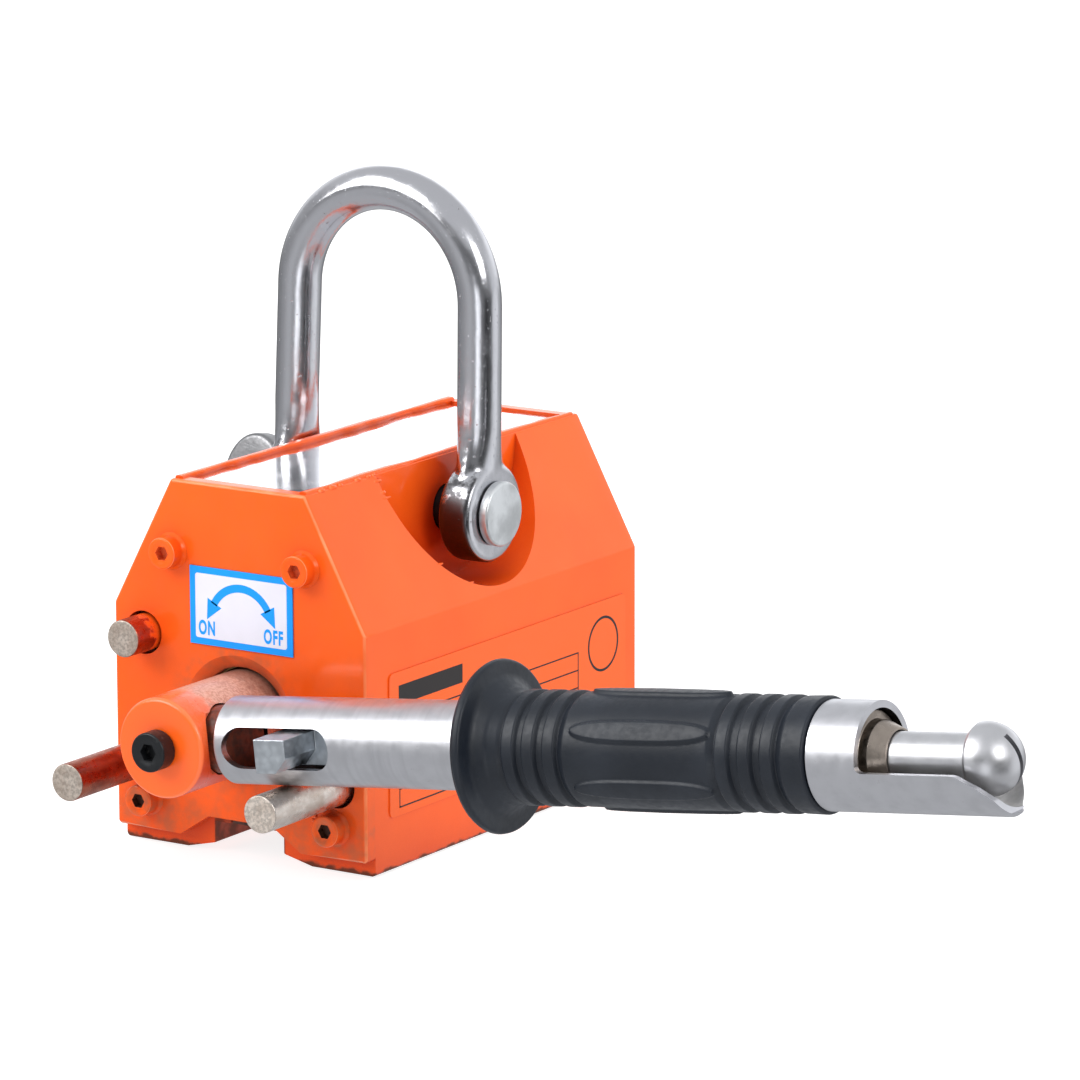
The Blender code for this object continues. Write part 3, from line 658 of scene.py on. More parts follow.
def sawn(name, tone, stain, orange_from=None):
    """A stop pin's worn and stained barrel along Y, painted behind orange_from if that is given."""
    made = Surface(name, tone, 0.42, 1.0)
    blotch = made.fit(made.noise(3.2, 5.0, (1.0, 2.2, 1.0), 0.6), 0.38, 0.68)
    barrel = made.mix(blotch, tone, stain)
    if orange_from is not None:
        edge = made.plus(made.part("Y"), made.patches(2.0, 3.0, 0.3, 0.7, -1.2, 1.2))
        painted = made.fit(edge, orange_from - 0.7, orange_from + 0.7)
        barrel = made.mix(painted, barrel, ORANGE_DEEP)
        made.feed(made.shader.inputs["Metallic"], made.fit(painted, 0.0, 1.0, 1.0, 0.0))
    made.colour(barrel)
    made.roughness(made.patches(1.1, 4.0, 0.3, 0.7, 0.24, 0.46))
    made.bump((made.noise(1.6, 4.0), 0.06), (made.noise(0.25, 2.0), 0.01))
    return made.material


def sawn_end(name, tone):
    """The rough beige face of a sawn pin."""
    made = Surface(name, tone, 0.5, 0.7)
    grain = made.noise(0.55, 5.0, rough=0.62)
    cloud = made.patches(2.4, 3.0, 0.35, 0.7)
    mottled = made.mix(made.fit(grain, 0.36, 0.64), tone, darker(tone, 0.62))
    mottled = made.mix(made.times(cloud, 0.4), mottled, (0.34, 0.25, 0.19))
    made.colour(mottled)
    made.bump((grain, 0.05), (made.noise(1.9, 3.0), 0.08))
    return made.material


def rubber(name):
    """Bluish black moulded rubber, slightly chalky."""
    made = Surface(name, (0.009, 0.012, 0.018), 0.45, Specular_IOR_Level=0.38)
    chalk = made.patches(11.0, 5.0, 0.4, 0.75)
    made.colour(made.mix(chalk, (0.008, 0.011, 0.017), (0.014, 0.018, 0.026)))
    made.roughness(made.patches(1.2, 4.0, 0.3, 0.7, 0.37, 0.48))
    made.bump((made.noise(0.45, 3.0), 0.012), (made.noise(3.5, 2.0), 0.04))
    return made.material


def plain_metal(name, tone, rough, grain=0.8, depth=0.02):
    """Machined or plated metal with a fine grain."""
    made = Surface(name, tone, rough, 1.0)
    worn = made.fit(made.noise(6.0 * grain, 4.0), 0.35, 0.7)
    made.colour(made.mix(worn, tone, darker(tone, 0.7)))
    made.roughness(made.fit(made.noise(grain, 4.0), 0.3, 0.7, 0.8 * rough, 1.25 * rough))
    made.bump((made.noise(grain, 3.0), depth))
    return made.material


def black_steel(name):
    """Black oxide, worn a little brighter on its high spots."""
    made = Surface(name, (0.014, 0.015, 0.017), 0.36, 0.4)
    worn = made.patches(1.6, 4.0, 0.62, 0.8)
    made.colour(made.mix(worn, (0.012, 0.013, 0.015), (0.10, 0.095, 0.09)))
    made.roughness(made.patches(1.0, 3.0, 0.3, 0.7, 0.28, 0.48))
    made.bump((made.noise(0.7, 3.0), 0.02))
    return made.material


def shaft_paint(name):
    """Orange on the end face, and a speckled tan overspray that turns darker toward the root of the barrel; a
    faint painted highlight on the end's rounded edge, and painted shade on the barrel's underside.
    """
    made = Surface(name, ORANGE, 0.4, Coat_Weight=0.2, Coat_Roughness=0.15)
    reach = made.part("Y")
    wander = made.patches(2.5, 5.0, 0.3, 0.7, -1.5, 1.5)
    bare = made.fit(made.plus(reach, wander), SHAFT_FRONT + 1.5, SHAFT_FRONT + 12.0)
    speckle = made.fit(made.noise(0.55, 5.0, rough=0.65), 0.36, 0.62)
    dusty = made.mix(speckle, (0.46, 0.22, 0.15), (0.66, 0.39, 0.29))
    body = made.mix(made.fit(bare, 0.0, 1.0, 0.15, 0.95), ORANGE, dusty)
    facing = made.fit(reach, SHAFT_FRONT + 0.3, SHAFT_FRONT + 1.1)
    body = made.mix(facing, ORANGE, body)
    # Painted highlight: a faint pale line on the end's rounded edge.
    body = made.mix(made.times(highlight_on_front_edges(made), 0.2), body, (1.0, 0.34, 0.16))
    # Painted shade: the barrel turns deeper orange toward its underside.
    below = made.times(made.fit(made.normal("Z"), 0.5, -0.4), facing)
    body = made.mix(made.times(below, 0.9), body, ORANGE_PAINTED_SHADE)
    root = made.fit(made.plus(reach, wander), -7.0, 0.5)
    body = made.mix(made.times(root, 0.7), body, (0.13, 0.042, 0.026))
    made.colour(body)
    made.roughness(made.fit(bare, 0.0, 1.0, 0.26, 0.5))
    made.bump((made.noise(5.0, 2.0), 0.08), (made.noise(0.6, 3.0), 0.02))
    return made.material


def ink(name, tone, rough=0.4):
    """Printed ink with a slightly uneven tone."""
    made = Surface(name, tone, rough, Specular_IOR_Level=0.3)
    made.colour(made.mix(made.patches(7.0, 3.0, 0.3, 0.75), tone, darker(tone, 0.96)))
    made.bump((made.noise(0.5, 2.0), 0.003))
    return made.material


def mirror_plate(name):
    """The bright top plate, brushed along Y, with smears."""
    made = Surface(name, (0.93, 0.93, 0.95), 0.1, 1.0)
    brushed = made.noise(0.25, 2.0, (1.0, 120.0, 1.0))
    made.roughness(made.fit(made.noise(6.0, 5.0, rough=0.6), 0.3, 0.75, 0.06, 0.2))
    made.colour(made.mix(made.patches(12.0, 4.0, 0.45, 0.8), (0.95, 0.95, 0.97), (0.82, 0.82, 0.86)))
    made.bump((brushed, 0.002), (made.noise(14.0, 2.0), 0.02), (made.noise(1.0, 3.0), 0.003))
    return made.material


PAINT = paint("orange_paint_body", rims=highlight_on_pocket_rims)
PAINT_REAR = paint("orange_paint_rear")
PAINT_FRONT = paint("orange_paint_front", 0.95, 3.6, 0.06)
PAINT_THICK = paint("orange_paint_thick", 1.0, 2.0, rims=highlight_on_screw_heads)
PAINT_BEAD = paint("orange_paint_bead", 0.15, 0.5)
PAINT_WORN = paint("orange_paint_worn", 1.0, 2.6, 0.5, highlight_on_screw_heads)
# Painted shade: the spigot, seen through the tube's slot, is drawn dark brown for the shadow there.
SPIGOT_SHADE = enamel("spigot_painted_shade", (0.20, 0.035, 0.012), (0.06, 0.018, 0.010))
# Soiling and painted shade: near-black brown for the strip in the notch and the lower front screws' sockets.
DIRT_AND_SHADE = enamel("notch_soiling_and_shade", (0.10, 0.035, 0.018), (0.035, 0.016, 0.010))
SHAFT_PAINT = shaft_paint("shaft_overspray")
CHROME = polished("polished_chrome_forging")
SATIN = satin("satin_chrome_turned", marks=0.25)
SLEEVE = satin("satin_sleeve", (0.66, 0.66, 0.69), 0.1)
ROD_STEEL = satin("satin_rod", (0.70, 0.70, 0.72), 0.05, 0.3)
BUTTON = satin("satin_button", (0.68, 0.68, 0.70), 0.0, 0.3)
STAINED = plain_metal("stained_steel", (0.42, 0.36, 0.31), 0.34, 0.9, 0.05)
TROUGH = plain_metal("trough_inside", (0.70, 0.69, 0.68), 0.42)
FORGED = plain_metal("forged_steel", (0.36, 0.36, 0.37), 0.4, 0.9, 0.05)
# Painted shade: the darker, mottled orange inside the upper and rear screws' sockets.
SOCKET_SHADE = enamel("socket_painted_shade", (0.85, 0.14, 0.03), (0.45, 0.06, 0.015))
ZINC = zinc("zinc_block")
RUBBER = rubber("black_rubber_grip")
BLACK = black_steel("black_oxide")
GALVANISED = plain_metal("galvanised_head", (0.84, 0.86, 0.87), 0.42, 0.9, 0.03)
PLATE = mirror_plate("mirror_top_plate")
IRON = plain_metal("ground_iron", (0.22, 0.22, 0.23), 0.5)
BRASS = plain_metal("bearing_bronze", (0.62, 0.42, 0.18), 0.36)
MAGNET = plain_metal("nickel_magnet", (0.62, 0.62, 0.63), 0.3)
SPRING = plain_metal("spring_wire", (0.42, 0.42, 0.44), 0.28, 0.4)
# Painted shade: near-black metal for the inside of the tube and of the sleeve near its mouth.
INSIDE_SHADE = plain_metal("tube_inside_painted_shade", (0.035, 0.032, 0.03), 0.7, 1.2, 0.05)


# ---------------------------------------------------------------- body

def pocket_cutters():
    """The two round pockets beside the shackle's legs."""
    cutters = []
    for near, far in ((-40.0, WALL_LEFT), (WALL_RIGHT, 40.0)):
        matrix = at(0.0, PIN_Y, BODY_HEIGHT) @ TURN_X
        cutters.append(rod("pocket", POCKET_RADIUS, near, far, steps=128, matrix=matrix))
    return cutters


def holes(places, radius, start, end, steps):
    """Cutters along Y at several (x, z) places."""
    return [rod("hole", radius, start, end, steps=steps, matrix=along_y(x, z)) for x, z in places]


def slope_at(z):
    """Half the body's width at a height on its slopes."""
    return BODY_HALF - (z - CHAMFER_FOOT) * (BODY_HALF - TOP_HALF) / (BODY_HEIGHT - CHAMFER_FOOT)


def screw_places():
    """The four screw positions of a cover, as (x, z)."""
    return [(side * x, z) for x, z in (SCREW_HIGH, SCREW_LOW) for side in (-1, 1)]


def housing():
    """The painted steel body between the covers."""
    right = [(FOOT_GAP_HALF, FOOT_GAP_TOP, 0.0), (FOOT_GAP_HALF, FOOT_RISE, 0.4), (FOOT_FLAT, 0.0, 0.0),
             (BODY_HALF, 0.0, EDGE_ROUND), (BODY_HALF, CHAMFER_FOOT, SHOULDER_ROUND),
             (TOP_HALF, BODY_HEIGHT, EDGE_ROUND), (TRAY_HALF, BODY_HEIGHT, 0.25),
             (TRAY_HALF, BODY_HEIGHT - TRAY_DEPTH, 0.0)]
    mesh = prism("housing_skin", rounded(mirrored(right)), COVER, BODY_LENGTH - COVER)
    cutters = pocket_cutters()
    cutters += holes([(0.0, SHAFT_Z)], ROTOR_BORE, -BODY_LENGTH, 0.0, 96)
    strip = block("strip_slot", (-STRIP_HALF, -5.0, FOOT_GAP_TOP - 2.0), (STRIP_HALF, BEYOND, STRIP_TOP))
    magnets = block("magnet_slot", (-MAGNET_HALF, -5.0, MAGNET_LOW), (MAGNET_HALF, BEYOND, MAGNET_HIGH))
    cutters += [strip, magnets]
    cutters.append(rod("pin_hole", PIN_RADIUS + GAP, -20.0, 20.0, steps=48,
                       matrix=at(0.0, PIN_Y, PIN_Z) @ TURN_X))
    cutters += holes(STOP_PINS, STOP_RADIUS + GAP, -STOP_DEPTH - GAP, 5.0, 48)
    cutters += holes(screw_places(), SCREW_HOLE, -SCREW_DEPTH, 5.0, 24)
    cutters += holes(screw_places(), SCREW_HOLE, -BEYOND, SCREW_DEPTH - BODY_LENGTH, 24)
    mesh = combined(mesh, cutters)

    def on_pocket_rim(middle):
        """True for the pocket's rim on the slope and side, and where its wall meets its round floor."""
        reach = math.hypot(middle.y - PIN_Y, middle.z - BODY_HEIGHT)
        inside = abs(middle.x) > WALL_RIGHT + 0.6
        return abs(reach - POCKET_RADIUS) < 0.2 and inside

    mesh = edged(mesh, 0.55, on_pocket_rim)
    piece("housing_skin", mesh, BODY, PAINT, ("housing",))


def cover(name, node, start, outside, cutters, surface):
    """An end cover; outside is the Y of the face whose edges are rounded over by paint."""
    right = [(NOTCH_TOP, NOTCH_TOP, 0.5), (NOTCH_FOOT, COVER_BOTTOM, 0.4),
             (BODY_HALF, COVER_BOTTOM, EDGE_ROUND), (BODY_HALF, CHAMFER_FOOT, SHOULDER_ROUND),
             (TOP_HALF, BODY_HEIGHT, EDGE_ROUND)]
    mesh = prism(name, rounded(mirrored(right)), start, start + COVER)

    def on_outline(middle):
        """True round the cover's outline on its outer face, but not along the notch or the holes."""
        x, z = abs(middle.x), middle.z
        below = z < COVER_BOTTOM + 0.1 and x > NOTCH_FOOT + 0.9
        around = x > BODY_HALF - 0.9 or z > BODY_HEIGHT - 0.9 or x > slope_at(z) - 0.9
        return abs(middle.y - outside) < 0.01 and (around or below)

    mesh = edged(mesh, 0.9 * EDGE_ROUND, on_outline, 4, 25.0, False)
    mesh = flattened(combined(mesh, cutters))
    piece(name, mesh, BODY, surface, (node,))


def covers():
    """Both covers; the front one also passes the shaft and the stop pins."""
    bore, mouth = 9.8, 12.3
    recess = [(0.0, -9.0, 0.0), (bore, -9.0, 0.0), (bore, -1.4, 0.5), (mouth, 0.0, 0.0), (mouth, 4.0, 0.0),
              (0.0, 4.0, 0.0)]
    cutters = [turned("shaft_hole", rounded(recess, 4), 96, along_y(0.0, SHAFT_Z))]
    cutters += holes(STOP_PINS, STOP_RADIUS + 0.6, -9.0, 4.0, 64)
    cover("front_cover_skin", "front_cover", 0.0, 0.0, cutters, PAINT_FRONT)
    cutters = holes(screw_places(), SCREW_HOLE, -BEYOND, 9.0, 24)
    cover("rear_cover_skin", "rear_cover", BODY_LENGTH - COVER, BODY_LENGTH, cutters, PAINT_REAR)


def cap_screw(name, node, where, matrix, sizes, surface, skirt=0.0, inside=None):
    """A socket cap screw standing on Z = 0, head up, its size given as in COVER_SCREW.

    A skirt is the little fillet of paint where the head meets what it stands on; inside is the
    surface that the socket gets as painted shade.
    """
    head, tall, shank, length, key = sizes
    foot = 0.02 - GAP
    dish = 0.66 * key
    dished = tall - 0.22
    corners = [(0.0, -length, 0.0), (shank, -length, 0.3), (shank, foot, 0.0)]
    if skirt:
        corners += [(head + skirt, foot, 0.0), (head, 0.35, 0.8)]
    else:
        corners += [(shank, 0.0, 0.0), (head, 0.0, 0.1)]
    corners += [(head, tall, 0.35), (dish + 0.35, tall, 0.0), (dish, dished, 0.0), (0.0, dished, 0.0)]
    mesh = turned(name, rounded(corners, 5), 72, matrix, 50.0)
    hexagon = rod("socket", key / math.sqrt(3.0), 0.4 * tall, tall + 1.0, steps=6, matrix=matrix)
    mesh = combined(mesh, [hexagon], smooth_below=50.0)
    piece(name, mesh, where, surface, (node,))
    if inside:
        to_screw = matrix.inverted()

        def in_socket(middle, facing):
            place = to_screw @ middle
            return math.hypot(place.x, place.y) < 0.6 * key and place.z < tall - 0.3

        # The socket's faces get the inside surface, painted shade for the recess.
        resurfaced(mesh, inside, in_socket)


def fasteners():
    """Four painted screws in each cover, with painted shade in their sockets; the front's lower two are worn
    and dusty, with soiling and painted shade in their sockets.
    """
    for number, (x, z) in enumerate(screw_places(), 1):
        front = at(x, -GAP, z) @ TURN_Y
        back = at(x, BODY_LENGTH + GAP, z) @ TURN_Y.inverted()
        clean = (PAINT_THICK, SOCKET_SHADE)
        surfaces = (PAINT_WORN, DIRT_AND_SHADE) if z < SHAFT_Z else clean
        for end, matrix, (surface, inside) in (("front", front, surfaces), ("rear", back, clean)):
            cap_screw(f"{end}_screw_painted_{number}", f"{end}_cover_screw_{number}", BODY, matrix,
                      COVER_SCREW, surface, 0.55, inside)


def stop_pin(name, node, place, length, barrel, end):
    """A sawn pin: a round barrel and a rough end face."""
    corners = [(0.0, -STOP_DEPTH, 0.0), (STOP_RADIUS, -STOP_DEPTH, 0.3), (STOP_RADIUS, length, 0.28),
               (STOP_RADIUS * 0.55, length, 0.0), (0.0, length, 0.0)]
    mesh = turned(name, rounded(corners, 4), 72, along_y(*place))
    piece(name, mesh, BODY, barrel, (node,))
    resurfaced(mesh, end, lambda middle, facing: middle.y < 0.12 - length and abs(facing.y) > 0.7)


def stop_pins():
    """The lock pin and the two long stops, in the colours that paint and wear left on them."""
    rusty = sawn("stop_barrel_red", (0.46, 0.14, 0.085), (0.25, 0.075, 0.05), -1.6)
    nickel = sawn("stop_barrel_nickel", (0.78, 0.71, 0.65), (0.56, 0.47, 0.40))
    grey = sawn_end("stop_end_grey", (0.62, 0.54, 0.47))
    pale = sawn_end("stop_end_pale", (0.80, 0.71, 0.63))
    stop_pin("stop_pin_lock_worn", "stop_pin_lock", LOCK_PIN, STOP_SHORT, rusty, grey)
    stop_pin("stop_pin_on_worn", "stop_pin_on", ON_PIN, STOP_LONG, rusty, grey)
    stop_pin("stop_pin_off_worn", "stop_pin_off", OFF_PIN, STOP_LONG, nickel, pale)


def paint_beads():
    """The uneven low walls of thick paint along the top's two rims."""
    section = []
    for step in range(20):
        across = math.cos(math.tau * step / 20)
        upward = math.sin(math.tau * step / 20)
        section.append((math.copysign(abs(across) ** 0.6, across), math.copysign(abs(upward) ** 0.6, upward)))
    pitch = 0.35
    places = [1.4 + pitch * index for index in range(int((BODY_LENGTH - 2.8) / pitch) + 1)]
    for name, side, seed, thick in (("paint_bead_left", -1, 3.1, 0.85), ("paint_bead_right", 1, 8.7, 0.75)):
        rings = []
        for y in places:
            drift = noise.noise((seed, y * 0.06, 0.0))
            lump = noise.noise((seed + 5.0, y * 0.17, 0.0))
            wide = thick * (1.0 + 0.5 * drift + 0.3 * lump)
            tall = 0.7 + 0.2 * drift + 0.05 * lump
            middle = side * (TOP_HALF - 0.25 - wide)
            rings.append([(middle + wide * u, y, BODY_HEIGHT - 0.2 + tall * w) for u, w in section])
        piece(name, skinned(name, rings), BODY, PAINT_BEAD, body="housing_body")


def paint_lumps():
    """Drops of thick paint on the right-hand pocket's upper rim and beside the lower right screw."""
    places = []
    reach = POCKET_RADIUS + 0.1
    for degrees, size, length in ((183.0, 0.4, 1.5), (188.0, 0.45, 1.0), (190.5, 0.32, 1.8),
                                  (227.0, 0.28, 1.5), (247.0, 0.25, 1.2)):
        angle = math.radians(degrees)
        z = BODY_HEIGHT + reach * math.sin(angle)
        places.append((slope_at(z) - 0.25, PIN_Y + reach * math.cos(angle), z, size, length))
    for step, y in enumerate((6.0, 9.5, 12.0, 17.5, 21.0, 22.6)):
        wander = noise.noise((step * 2.3, 9.0, 0.0))
        places.append((TOP_HALF - 0.2, y, BODY_HEIGHT - 0.1, 0.45 + 0.2 * wander, 1.1 + 0.9 * wander))
    places.append((SCREW_LOW[0] - 4.2, -0.05, SCREW_LOW[1] + 1.8, 0.5, 0.5))
    places.append((SCREW_LOW[0] - 4.6, 0.0, SCREW_LOW[1] + 0.9, 0.35, 0.35))
    bm = bmesh.new()
    for x, y, z, size, length in places:
        shape = at(x, y, z) @ Matrix.Diagonal((size, length, size, 1.0))
        bmesh.ops.create_icosphere(bm, subdivisions=3, radius=1.0, matrix=shape)
    mesh = finish(bm, "lumps", None, 80.0)
    piece("paint_lumps", mesh, BODY, PAINT_BEAD, body="housing_body")


def inserts():
    """The top plate, and the finishes of the CAD pieces that have no visual one."""
    plate = TRAY_HALF - 0.1
    tray = BODY_HEIGHT - TRAY_DEPTH
    start = COVER + 0.05
    mesh = block("top_plate", (-plate, start, tray + 0.05), (plate, BODY_LENGTH - start, tray + 1.0))
    mesh = edged(mesh, 0.12)
    piece("top_plate_bright", mesh, BODY, PLATE, ("rating_plate",))
    finishes = ((MAGNET, ("fixed_magnet_1", "fixed_magnet_2", "rotor_magnet_1", "rotor_magnet_2")),
                (BRASS, ("front_bearing", "rear_bearing")),
                (IRON, ("rear_stub_shaft", "rotor_pole_a", "rotor_pole_b")),
                (ZINC, ("spring_seat", "rod_collar")),
                # Painted shade: the spigot gets the dark brown that stands for the shadow inside the slot.
                (SPIGOT_SHADE, ("handle_spigot",)),
                # Soiling and painted shade: the strip under the body, in the notch, is drawn near-black
                # brown.
                (DIRT_AND_SHADE, ("nonmagnetic_strip",)))
    for surface, nodes in finishes:
        for node in nodes:
            frame["nodes"][node].data.materials.clear()
            frame["nodes"][node].data.materials.append(surface)


# ---------------------------------------------------------------- labels

def flat(name, outline, level, thick, surface, nodes=(), side=None):
    """A thin printed shape on the front (XZ outline) or, with side, on the right side (YZ outline)."""
    if side is None:
        mesh = prism(name, outline, level - thick, level)
    else:
        matrix = at(level, 0.0, 0.0) @ TO_SIDE @ Matrix.Scale(-1.0, 4, (0.0, 1.0, 0.0))
        mesh = prism(name, outline, 0.0, thick, matrix)
    piece(name, mesh, BODY, surface, nodes, None if nodes else "housing_body")


def word(name, text, height, place, surface):
    """Printed capitals on the front, as a thin mesh."""
    curve = bpy.data.curves.new(name, "FONT")
    curve.body = text
    curve.size = height / 0.72 * MM
    curve.extrude = 0.012 * MM
    curve.offset = 0.05 * height * MM
    curve.space_character = 1.16
    made = bpy.data.objects.new(name, curve)
    bpy.context.collection.objects.link(made)
    mesh = evaluated(made)
    mesh.transform(Matrix.Translation(Vector(place) * MM) @ TURN_Y @ Matrix.Diagonal((0.62, 1.0, 1.0, 1.0)))
    piece(name, mesh, BODY, surface, body="housing_body")


def switch_label():
    """The blue and pale switch label: border, field, two-headed arrow, ON and OFF."""
    blue = ink("label_blue", (0.0, 0.315, 0.93), 0.35)
    pale = ink("label_pale", (0.74, 0.75, 0.85), 0.35)
    left, right, bottom, top = -10.5, 12.4, 39.8, 54.4
    level = -0.28
    outline = [(left, bottom), (right, bottom), (right, top), (left, top)]
    flat("switch_label_border", outline, -0.02, 0.26, blue, ("switch_label",))
    rim = 1.25
    field = [(left + rim, bottom + rim, 0.5), (right - rim, bottom + rim, 0.5), (right - rim, top - rim, 0.5),
             (left + rim, top - rim, 0.5)]
    flat("switch_label_field", rounded(field), level, 0.02, pale)
    centre = ((left + right) / 2.0, 44.4)
    outer, inner = 7.6, 6.1
    band = arc(centre, outer, 28, 152, 32) + arc(centre, inner, 152, 28, 32)
    flat("switch_label_arc", band, level - 0.02, 0.02, blue)
    for side in (-1, 1):
        angle = math.radians(28 if side > 0 else 152)
        middle = Vector((math.cos(angle), math.sin(angle))) * (outer + inner) / 2.0 + Vector(centre)
        away = Vector((math.cos(angle), math.sin(angle)))
        ahead = Vector((side * away.y, -side * away.x))
        head = [middle + away * 1.75 - ahead * 0.3, middle - away * 1.75 - ahead * 0.3, middle + ahead * 3.4]
        flat(f"switch_label_head_{'off' if side > 0 else 'on'}", [tuple(point) for point in head],
             level - 0.02, 0.02, blue)
    word("switch_label_on", "ON", 2.6, (left + 1.9, level - 0.03, bottom + 2.0), blue)
    word("switch_label_off", "OFF", 2.6, (right - 6.4, level - 0.03, bottom + 2.0), blue)


def side_label():
    """The clear film on the right side with an empty ruled form printed on it."""
    film = Surface("clear_film", ORANGE, 0.2, Coat_Weight=0.25, Coat_Roughness=0.1, Specular_IOR_Level=0.4,
                   Specular_Tint=(1.0, 0.62, 0.42, 1.0))
    film.colour(film.mix(film.patches(16.0, 4.0, 0.3, 0.7), ORANGE, (0.93, 0.12, 0.012)))
    film.bump((film.noise(20.0, 2.0), 0.05), (film.noise(0.8, 2.0), 0.004))
    black = ink("label_black", (0.022, 0.018, 0.018), 0.45)
    near, far, bottom, top = 7.5, 88.0, 10.0, 37.0
    corners = [(near, bottom, 1.2), (far, bottom, 1.2), (far, top, 1.2), (near, top, 1.2)]
    outline = [(y, z) for y, z in rounded(corners)]
    film_thick = 0.25
    flat("side_label_film", outline, BODY_HALF, film_thick, film.material, ("side_label",),
         "right")
    level = BODY_HALF + film_thick

    def rule(name, y_from, y_to, z_from, z_to):
        flat(name, [(y_from, z_from), (y_to, z_from), (y_to, z_to), (y_from, z_to)], level, 0.02, black,
             side="right")

    thin = 0.28
    rows = 6
    pitch = 3.4
    first = top - 8.6
    last = first - pitch * (rows - 1)
    form_start = near + 3.0
    form_end = far - 17.0
    for row in range(rows):
        z = first - pitch * row
        rule(f"side_label_row_{row + 1}", form_start, form_end, z, z + thin)
    for number, y, upper in ((1, near + 27.0, first), (2, form_start, first), (3, form_end, first + thin)):
        rule(f"side_label_column_{number}", y, y + thin, last, upper)
    rule("side_label_heading", form_start, near + 24.0, top - 6.2, top - 2.6)
    centre = (far - 8.0, top - 8.4)
    hole = prism("hole", circle(centre, 4.9), -2.0, 2.0)
    ring = combined(prism("ring", circle(centre, 5.4), -1.0, 1.0), [hole])
    ring.transform(Matrix.Diagonal((1.0, 0.01, 1.0, 1.0)))
    ring.transform(at((level + 0.01) * MM, 0.0, 0.0) @ TO_SIDE)
    piece("side_label_ring", ring, BODY, black, body="housing_body")


# ---------------------------------------------------------------- rotor and handle

def shaft():
    """The painted shaft with its disc and the handle's cross hole, and the clamp screw in its face."""
    disc = SHAFT_RADIUS + 7.2
    back = GAP - ROTOR_START
    corners = [(0.0, back, 0.0), (disc, back, 0.0), (disc, back + 3.0, 0.0), (SHAFT_RADIUS, back + 3.0, 0.0),
               (SHAFT_RADIUS, -SHAFT_FRONT, 0.9), (0.0, -SHAFT_FRONT, 0.0)]
    mesh = turned("shaft", rounded(corners, 6), 128, TURN_Y)
    turn = at(0.0, HANDLE_Y, 0.0) @ Matrix.Rotation(-HANDLE_TILT, 4, "Y") @ TURN_X
    cutters = [rod("cross_hole", TUBE_BORE, -5.3, 20.0, steps=72, matrix=turn),
               rod("spot_face", 7.2, 7.4, 20.0, steps=72, matrix=turn),
               rod("clamp_hole", 2.3, 8.0, 40.0, steps=32, matrix=TURN_Y)]
    mesh = combined(mesh, cutters)
    piece("shaft_painted", mesh, SHAFT, SHAFT_PAINT, ("drive_shaft",))
    head = at(0.0, SHAFT_FRONT - GAP, 0.0) @ TURN_Y
    cap_screw("clamp_screw_black", "handle_clamp_screw", SHAFT, head, CLAMP_SCREW, BLACK)


def side_slot():
    """A slot with round ends that passes through the tube from front to back."""
    radius = SLOT_HEIGHT / 2.0
    outline = arc((SLOT_START + radius, 0.0), radius, 90, 270, 24)
    outline += arc((SLOT_END - radius, 0.0), radius, -90, 90, 24)
    return prism("slot", outline, -12.0, 12.0)


def handle_tube():
    """The slotted tube, satin outside and near-black inside as painted shade."""
    corners = [(TUBE_BORE, TUBE_START, 0.1), (TUBE_RADIUS, TUBE_START, 0.35), (TUBE_RADIUS, TUBE_END, 0.3),
               (TUBE_BORE, TUBE_END, 0.1)]
    mesh = turned("tube", rounded(corners, 4), 128, TURN_X)
    mesh = combined(mesh, [side_slot()])

    def on_slot(middle):
        outside = math.hypot(middle.y, middle.z) > TUBE_RADIUS - 0.35
        return outside and TUBE_START + 1.0 < middle.x < GRIP_START

    mesh = edged(mesh, 0.18, on_slot, 2)
    piece("handle_tube_satin", mesh, HANDLE, SATIN, ("handle_tube",))
    # Painted shade: the tube's bore is near-black.
    resurfaced(mesh, INSIDE_SHADE, lambda middle, _: math.hypot(middle.y, middle.z) < TUBE_BORE + 0.05)


def grip_outline():
    """The grip's outer line: flange, neck, three rings at each end and a plain middle, as (radius, x)."""
    corners = [(TUBE_RADIUS + 0.25, GRIP_START, 0.3), (14.9, GRIP_START, 0.7), (15.5, GRIP_START + 1.0, 0.5),
               (15.3, GRIP_START + 2.0, 0.6), (12.2, 69.4, 2.2), (10.4, 71.3, 2.0), (9.8, 73.2, 0.8)]
    for middle in (75.7, 79.9, 84.2):
        corners += ring_corners(middle)
    corners += [(10.1, 87.2, 1.0), (10.2, 102.0, 0.0), (10.1, 116.4, 1.0)]
    for middle in (119.4, 123.9, 128.4):
        corners += ring_corners(middle)
    corners += [(10.1, 131.4, 1.0), (10.2, GRIP_END - 0.05, 0.45), (TUBE_RADIUS + 0.25, GRIP_END, 0.2)]
    return corners


def ring_corners(middle):
    """A raised ring between two grooves."""
    return [(9.4, middle - 1.6, 0.2), (10.25, middle - 1.1, 0.4), (10.25, middle + 1.1, 0.4),
            (9.4, middle + 1.6, 0.2)]


def subdivided(points, longest):
    """The same line with no stretch longer than that."""
    result = [points[0]]
    for first, second in zip(points, points[1:]):
        count = max(1, math.ceil(math.dist(first, second) / longest))
        for step in range(1, count + 1):
            share = step / count
            result.append(tuple(a + (b - a) * share for a, b in zip(first, second)))
    return result


def pad_height(x, angle):
    """Height of the six lens-shaped pads above the grip's middle."""
    start, end, half_width, height = 88.6, 117.0, 1.95, 0.62
    share = (x - start) / (end - start)
    if not 0.0 < share < 1.0:
        return 0.0
    around = (angle - math.radians(30.0)) % math.radians(60.0) - math.radians(30.0)
    across = abs(around) * 10.2
    half = half_width * math.sqrt(1.0 - abs(2.0 * share - 1.0) ** 3.2)
    rise = min(1.0, max(0.0, (half - across) / 0.6 + 0.5))
    return height * rise * rise * (3.0 - 2.0 * rise)


